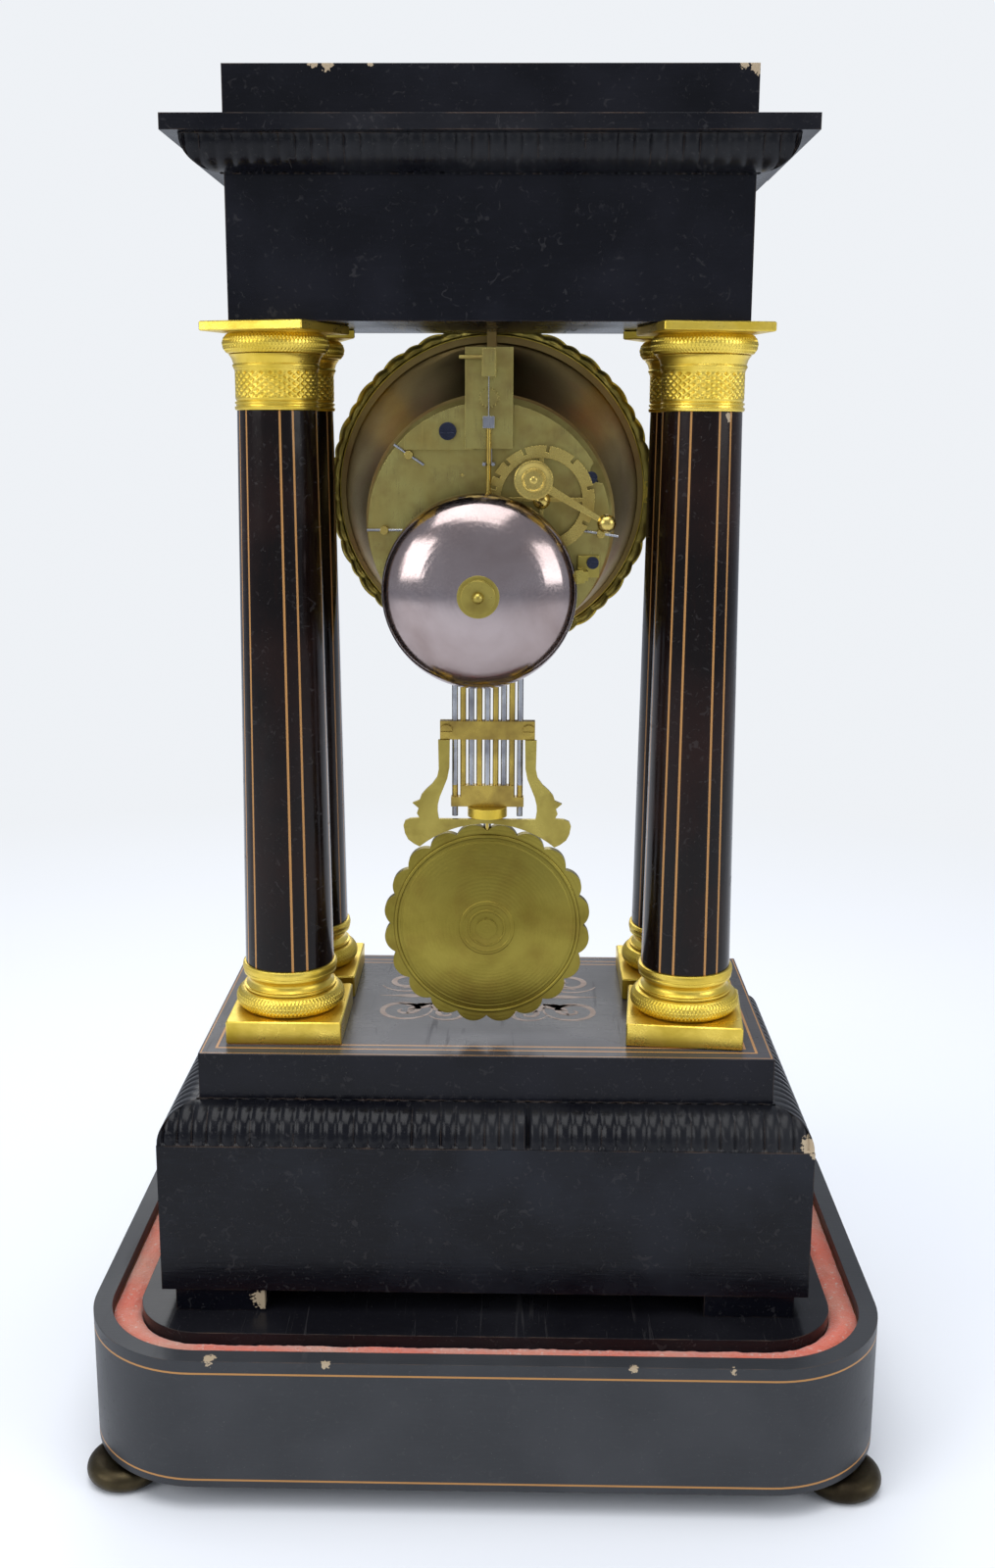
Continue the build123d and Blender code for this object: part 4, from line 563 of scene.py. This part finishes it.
def build_columns():
    """Bases and capitals with their knurling, weave and worn blocks."""
    for name, (x, y) in COLUMNS.items():
        base = Shape()
        base.stack(slab_rings(
            BASE_BLOCK_HALF, 0.5, PLINTH_TOP, BASE_BLOCK_TOP, BASE_TURN[name], x, y))
        base.stack(turned_rings(base_outline(), x, y, RING_STEPS, base_relief))
        base.make("gilt_base_" + name, gilt, "clock", ["column_base_" + name])
        capital = Shape()
        capital.stack(turned_rings(capital_outline(), x, y, RING_STEPS, capital_relief))
        capital.stack(slab_rings(
            CAPITAL_BLOCK_HALF, 0.4, CAPITAL_BLOCK_BOTTOM, FRIEZE_BOTTOM, CAPITAL_TURN[name], x, y))
        capital.make(
            "gilt_capital_" + name, gilt, "clock", ["column_capital_" + name])


def ripple(name, half_x, half_y, section, pitch, depth, node, crack=None):
    """A moulding round a block whose face is cut into upright ribs, mitred at the corners."""
    shape = Shape()
    widest = max(reach for reach, z, share in section)
    sides = ((half_x, half_y, 1, 0), (half_y, half_x, 0, 1))
    for along, across, swap_a, swap_b in sides:
        for sign in (1, -1):
            count = int(round(2 * (along + widest) / pitch)) * 8
            step = 2 * (along + widest) / count
            rows = []
            for reach, z, share in section:
                row = []
                for i in range(count + 1):
                    place = -(along + widest) + step * i
                    wobble = 0.25 * noise.noise(Vector((place * 0.21, across, z * 0.05)))
                    groove = 1 - abs(math.sin(math.pi * (place + wobble) / pitch))
                    out = reach - share * depth * (groove ** 1.5) * (1 + 0.6 * wobble)
                    if crack is not None and swap_a and sign > 0 and abs(place - crack) < 0.5:
                        out -= 1.6 * share
                    limit = along + out
                    held = max(-limit, min(limit, place))
                    if swap_a:
                        row.append((held, sign * (across + out), z))
                    else:
                        row.append((sign * (across + out), held, z))
                rows.append(row)
            shape.grid(rows, wrap_rows=True)
    return shape.make(name, ripple_wood, "clock", [node], sharp=50)


def build_ripples():
    """The ripple mouldings on the lower box and under the cornice slab."""
    lower = [(0.05, BOX_TOP, 0.0), (14.7, BOX_TOP, 0.0)]
    for i in range(13):
        angle = math.pi / 2 * (i / 12)
        lower.append((1.0 + 13.7 * math.cos(angle), 137.9 + 13.4 * math.sin(angle), 1.0))
    lower += [(1.0, 151.7, 0.0), (0.05, 151.7, 0.0)]
    ripple("ripple_lower", 115.1, 60.85, lower, RIB_PITCH, 1.5, "lower_ripple_moulding",
           crack=-17.0)
    cornice = [(0.05, 506.7, 0.0), (1.0, 506.7, 0.0)]
    for i in range(13):
        angle = math.pi / 2 * (i / 12)
        cornice.append((1.4 + 12.3 * math.sin(angle), 518.3 - 11.2 * math.cos(angle), 1.0))
    cornice += [(13.9, FRIEZE_TOP, 0.0), (0.05, FRIEZE_TOP, 0.0)]
    ripple("ripple_cornice", 97.7, 41.4, cornice, RIB_PITCH, 1.4, "cornice_ripple_moulding")


def rounded_path(width, depth, corner, step):
    """Points and outward directions round a rectangle with rounded corners."""
    path = []
    for quarter in range(4):
        angle = math.pi / 2 * quarter
        sign_x = 1 if quarter in (0, 3) else -1
        sign_y = 1 if quarter in (0, 1) else -1
        cx, cy = sign_x * (width / 2 - corner), sign_y * (depth / 2 - corner)
        arc = max(6, int(corner * math.pi / 2 / step))
        for i in range(arc):
            a = angle + math.pi / 2 * i / arc
            path.append((cx + corner * math.cos(a), cy + corner * math.sin(a), a))
        a = angle + math.pi / 2
        run = depth - 2 * corner if quarter % 2 else width - 2 * corner
        count = int(run / step)
        along = (-math.sin(a), math.cos(a))
        for i in range(count):
            shift = run * i / count
            path.append((cx + corner * math.cos(a) + along[0] * shift,
                         cy + corner * math.sin(a) + along[1] * shift, a))
    return path


def build_felt():
    """The pile strip in the groove, crowned and uneven along its length."""
    section = [(-5.7, GROOVE_FLOOR)]
    for i in range(15):
        angle = math.pi * (1 - i / 14)
        section.append((5.85 * math.cos(angle), 59.6 + 3.1 * math.sin(angle)))
    section.append((5.7, GROOVE_FLOOR))
    rows = []
    for x, y, a in rounded_path(*FELT_PATH, 1.6):
        row = []
        for offset, z in section:
            ragged = noise.noise(Vector((x * 0.35, y * 0.35, z * 0.6 + offset)))
            coarse = noise.noise(Vector((x * 0.06, y * 0.06, offset * 0.2)))
            sink = max(0.0, z - 58.0) * (0.12 + 0.16 * ragged + 0.14 * coarse)
            row.append((x + offset * math.cos(a), y + offset * math.sin(a), z - max(0.0, sink)))
        rows.append(row)
    shape = Shape()
    shape.grid(rows, wrap_rows=True, wrap_columns=True)
    shape.make("felt_pile", felt_coat, "dome_base", ["dome_groove_felt"], sharp=180)


def ring_relief(name, inner, outer, face, rise, lobes, gap, material, body, bead=0.0):
    """A band of lobes on a flat ring that looks towards -Y or +Y, open round the hinge."""
    rows = []
    count = lobes * 12
    for i in range(count + 1):
        a = math.radians(180 + gap) + math.radians(360 - 2 * gap) * i / count
        fade = min(1.0, 8 * min(i, count - i) / count)
        lobe = abs(math.cos(lobes * a / 2))
        row = []
        for j in range(13):
            t = j / 12
            hump = math.sin(math.pi * t) ** 0.7 * (0.35 + 0.65 * lobe)
            hump += bead * max(0.0, 1 - abs(t - 0.12) * 12)
            r = inner + (outer - inner) * t - (1 - lobe) * 1.2 * t
            row.append((r * math.cos(a), face + rise * hump * fade, DIAL_Z + r * math.sin(a)))
        row.append((inner * math.cos(a), face, DIAL_Z + inner * math.sin(a)))
        rows.append(row)
    shape = Shape()
    shape.grid(rows, wrap_columns=True)
    shape.make(name, material, body, sharp=40)


def bar_prism(shape, corners, front, back):
    """A thin plate from four or more (x, z) corners between two depths."""
    shape.stack([[(x, front, z) for x, z in corners], [(x, back, z) for x, z in corners]])


def build_dial():
    """Roman hour numbers on the dial, and the lobed ring round it."""
    widths = {"I": 1.7, "V": 3.9, "X": 3.9}
    top = NUMERAL_HEIGHT
    hours = ["XII", "I", "II", "III", "IIII", "V", "VI", "VII", "VIII", "IX", "X", "XI"]
    shape = Shape()
    for hour, text in enumerate(hours):
        angle = math.radians(30 * hour)
        total = sum(widths[c] for c in text) + 0.5 * (len(text) - 1)
        left = -total / 2

        def put(corners):
            turned = []
            for a, b in corners:
                r = NUMERAL_INNER + b
                turned.append((a * math.cos(angle) + r * math.sin(angle),
                               DIAL_Z - a * math.sin(angle) + r * math.cos(angle)))
            bar_prism(shape, turned, DIAL_FRONT - 0.06, DIAL_FRONT + 0.02)

        for letter in text:
            width = widths[letter]
            right = left + width
            if letter == "I":
                put([(left + 0.3, 0), (right - 0.3, 0), (right - 0.3, top), (left + 0.3, top)])
                put([(left, 0), (right, 0), (right, 0.5), (left, 0.5)])
                put([(left, top - 0.5), (right, top - 0.5), (right, top), (left, top)])
            elif letter == "V":
                put([(left, top), (left + 1.2, top), (right - width / 2 + 0.5, 0),
                     (left + width / 2 - 0.4, 0)])
                put([(right - 0.5, top), (right, top), (left + width / 2 + 0.4, 0),
                     (left + width / 2, 0)])
            else:
                put([(left, top), (left + 1.3, top), (right, 0), (right - 1.3, 0)])
                put([(right - 0.5, top), (right, top), (left + 0.5, 0), (left, 0)])
            left = right + 0.5
    ink = Finish("numeral_black")
    speck = ink.noise(300, 2)
    coat = ink.close(ink.mix(speck, (0.008, 0.008, 0.01), (0.02, 0.02, 0.024)), 0.3, ((speck, 0.01),))
    shape.make("dial_numbers", coat, "clock", sharp=20)
    ring_relief("surround_front_lobes", 58.6, 69.2, SURROUND_FRONT + 0.05, -2.4, SURROUND_LOBES,
                HINGE_GAP, gilt, "clock", bead=0.5)
    ring_relief("surround_back_lobes", 65.9, 70.2, SURROUND_BACK - 0.05, 1.5, SURROUND_LOBES,
                0.0, cast_brass, "clock", bead=0.4)


def ribbon(shape, points, widths, level):
    """A flat inlaid strip along points, with a width at each."""
    left, right = [], []
    for i, (x, y) in enumerate(points):
        x0, y0 = points[max(0, i - 1)]
        x1, y1 = points[min(len(points) - 1, i + 1)]
        run = math.hypot(x1 - x0, y1 - y0) or 1.0
        nx, ny = -(y1 - y0) / run, (x1 - x0) / run
        half = widths[i] / 2
        left.append((x + nx * half, y + ny * half))
        right.append((x - nx * half, y - ny * half))
    outline = [left, right]
    top = [[(x, y, level + 0.05) for x, y in side] for side in outline]
    low = [[(x, y, level - 0.02) for x, y in side] for side in outline]
    shape.grid([top[0], top[1], low[1], low[0]], wrap_rows=True)
    first = len(shape.points) - 4 * len(points)
    count = len(points)
    for end in (0, count - 1):
        shape.faces.append(tuple(first + k * count + end for k in range(4)))


def scroll(shape, x, y, radius, start, turns, flip, level):
    """A tendril that winds in from a leafy stem."""
    points, widths = [], []
    count = 56
    for i in range(count + 1):
        t = i / count
        angle = math.radians(start) + flip * turns * 2 * math.pi * t
        r = radius * (1 - t) ** 0.75 + 0.8
        points.append((x + r * math.cos(angle), y + r * math.sin(angle)))
        widths.append(0.5 + 2.6 * math.sin(math.pi * (1 - t) ** 0.8) ** 0.8 * (1 - 0.35 * t))
    ribbon(shape, points, widths, level)


def leaf(shape, x, y, length, angle, width, bend, level):
    """A pointed leaf that bends to one side, with its edge in small lobes."""
    points, widths = [], []
    count = 22
    for i in range(count + 1):
        t = i / count
        a = math.radians(angle + bend * t)
        points.append((x + length * t * math.cos(a), y + length * t * math.sin(a)))
        swell = math.sin(math.pi * min(1, t ** 0.75))
        lobes = 1 + 0.25 * math.cos(6 * math.pi * t)
        widths.append(0.15 + width * swell * lobes)
    ribbon(shape, points, widths, level)


def build_marquetry():
    """Leafy scrolls let into the top of the plinth, the same on both sides."""
    shape = Shape()
    level = PLINTH_TOP
    middle_y = MARQUETRY_MIDDLE_Y
    for side in (1, -1):
        for end in (1, -1):
            def place(x, y):
                return side * x, middle_y + end * y
            flip = side * end
            base_angle = 200 if flip > 0 else -20
            x, y = place(36, 17)
            scroll(shape, x, y, 11.5, base_angle if end > 0 else -base_angle, 1.6, -flip, level)
            x, y = place(17, 21)
            scroll(shape, x, y, 7.5, 20 if side > 0 else 160, 1.4, flip, level)
            for length, angle, width, bend in (
                    (17, 12, 3.4, 40), (15, 35, 3.2, -35), (13, 62, 2.8, -25), (12, 85, 2.6, 30)):
                a = angle if side > 0 else 180 - angle
                x, y = place(24, 9)
                leaf(shape, x, y, length, a * end, width, bend * flip, level)
        a = 0 if side > 0 else 180
        leaf(shape, side * 8, middle_y, 40, a, 4.2, 0, level)
    for angle in range(0, 360, 45):
        leaf(shape, 0, middle_y, 13 if angle % 90 else 17, angle, 3.6, 0, level)
    shape.make("plinth_marquetry", inlay, "clock", sharp=30)


def build_small_metal():
    """Turned rings on the hammer's head and the bob, and the bead inside the pan."""
    shape = Shape()

    def disc(x, z, outline, count=72):
        rings = []
        for radius, y in outline:
            rings.append([
                (x + radius * math.cos(2 * math.pi * i / count), y,
                 z + radius * math.sin(2 * math.pi * i / count)) for i in range(count)])
        shape.stack(rings)

    disc(*HAMMER_HEAD, ((7.0, 46.4), (7.2, 46.6), (7.1, 47.1), (6.4, 47.2), (5.6, 46.8), (4.5, 46.75),
                        (4.3, 47.2), (3.9, 47.3), (3.6, 46.9), (1.4, 46.9), (1.0, 47.2), (0.3, 47.3)))
    shape.make("hammer_head_rings", wheel_brass, "hammer")

    def ring(shape, x, z, radius, y, half_width, half_height, count=160):
        rows = []
        for i in range(count):
            a = 2 * math.pi * i / count
            row = []
            for j in range(12):
                b = 2 * math.pi * j / 12
                r = radius + half_width * math.cos(b)
                row.append((x + r * math.cos(a), y + half_height * math.sin(b), z + r * math.sin(a)))
            rows.append(row)
        shape.grid(rows, wrap_rows=True, wrap_columns=True)

    bob = Shape()
    ring(bob, 0, BOB_Z, 37.0, 39.1, 0.8, 0.8)
    ring(bob, 0, BOB_Z, 34.6, 39.5, 0.5, 0.25)
    ring(bob, 0, BOB_Z, 10.4, 43.65, 0.9, 0.4)
    ring(bob, 0, BOB_Z, 7.2, 44.0, 0.5, 0.3)
    bob.make("bob_turned_rings", bob_brass, "pendulum")
    pan = Shape()
    ring(pan, 0, DIAL_Z, 64.2, -43.3, 1.1, 1.0)
    pan.make("pan_bead_ring", cast_brass, "clock")


build_columns()
build_ripples()
build_felt()
build_dial()
build_marquetry()
build_small_metal()


def build_stage():
    """The pale floor, the soft lights and the pale surroundings."""
    mesh = bpy.data.meshes.new("floor")
    reach = 6.0
    mesh.from_pydata([(-reach, -reach, 0), (reach, -reach, 0), (reach, reach, 0), (-reach, reach, 0)],
                     [], [(0, 1, 2, 3)])
    floor = bpy.data.objects.new("floor", mesh)
    bpy.context.scene.collection.objects.link(floor)
    f = Finish("pale_floor")
    cloud = f.noise(3, 2)
    material = f.close(f.mix(cloud, (0.80, 0.82, 0.86), (0.84, 0.86, 0.89)), 0.7)
    mesh.materials.append(material)
    # Far from the clock the camera sees the floor in the colour of the pale surroundings
    away = f.node("ShaderNodeVectorMath", {"operation": "LENGTH"})
    f.put(away.inputs[0], f.place)
    fade = f.remap(away.outputs["Value"], 0.35, 1.1)
    seen = f.sum("MULTIPLY", fade, f.node("ShaderNodeLightPath").outputs["Is Camera Ray"])
    pale = f.node("ShaderNodeEmission", Color=SURROUNDINGS, Strength=1.0)
    mixed = f.node("ShaderNodeMixShader")
    for socket, value in zip(mixed.inputs, (seen, f.shader.outputs[0], pale.outputs[0])):
        f.put(socket, value)
    f.put(f.tree.nodes["Material Output"].inputs["Surface"], mixed.outputs[0])
    world = bpy.data.worlds.new("surroundings")
    bpy.context.scene.world = world
    world.use_nodes = True
    tree = world.node_tree
    tree.nodes.clear()
    path = tree.nodes.new("ShaderNodeLightPath")
    seen = tree.nodes.new("ShaderNodeMath")
    seen.operation = "MAXIMUM"
    tree.links.new(path.outputs["Is Camera Ray"], seen.inputs[0])
    tree.links.new(path.outputs["Is Transmission Ray"], seen.inputs[1])
    light = tree.nodes.new("ShaderNodeBackground")
    light.inputs[0].default_value = (0.82, 0.88, 1.0, 1)
    light.inputs[1].default_value = 0.55
    white = tree.nodes.new("ShaderNodeBackground")
    white.inputs[0].default_value = SURROUNDINGS
    white.inputs[1].default_value = 1.0
    mixed = tree.nodes.new("ShaderNodeMixShader")
    output = tree.nodes.new("ShaderNodeOutputWorld")
    tree.links.new(seen.outputs[0], mixed.inputs[0])
    tree.links.new(light.outputs[0], mixed.inputs[1])
    tree.links.new(white.outputs[0], mixed.inputs[2])
    tree.links.new(mixed.outputs[0], output.inputs[0])
    lamps = (
        ("overhead", (0.1, 0.3, 1.9), (0, 0, 0.3), 1.6, 26.0),
        ("left_soft", (1.5, 1.1, 1.0), (0, 0, 0.3), 1.0, 12.0),
        ("right_soft", (-1.6, 0.9, 0.9), (0, 0, 0.3), 1.0, 9.0),
        ("far_soft", (0.3, -1.7, 1.4), (0, 0, 0.3), 1.2, 10.0),
    )
    for name, place, target, size, power in lamps:
        lamp = bpy.data.lights.new(name, "AREA")
        lamp.shape = "SQUARE"
        lamp.size = size
        lamp.energy = power
        holder = bpy.data.objects.new(name, lamp)
        bpy.context.scene.collection.objects.link(holder)
        holder.location = place
        aim = Vector(target) - Vector(place)
        holder.rotation_euler = aim.to_track_quat("-Z", "Y").to_euler()


def build_camera():
    """The camera at the place and angle from which the photograph was taken."""
    lens = bpy.data.cameras.new("camera")
    lens.sensor_width = 36.0
    lens.lens = 1617.33 * 36.0 / 1600
    lens.shift_x = (507.5 - 495.65) / 1600
    lens.shift_y = (775.79 - 800.0) / 1600
    lens.clip_start = 0.01
    holder = bpy.data.objects.new("camera", lens)
    bpy.context.scene.collection.objects.link(holder)
    forward = Vector((0.018087, -0.977911, -0.208237))
    right = Vector((-0.99981, -0.019209, 0.003368))
    up = Vector((0.007294, -0.208137, 0.978073))
    turn = Matrix((right, up, -forward)).transposed().to_4x4()
    holder.matrix_world = Matrix.Translation((-0.010784, 0.654734, 0.417596)) @ turn
    bpy.context.scene.camera = holder


build_stage()
build_camera()
bpy.context.scene.view_settings.view_transform = "Standard"

bpy.context.view_layer.update()
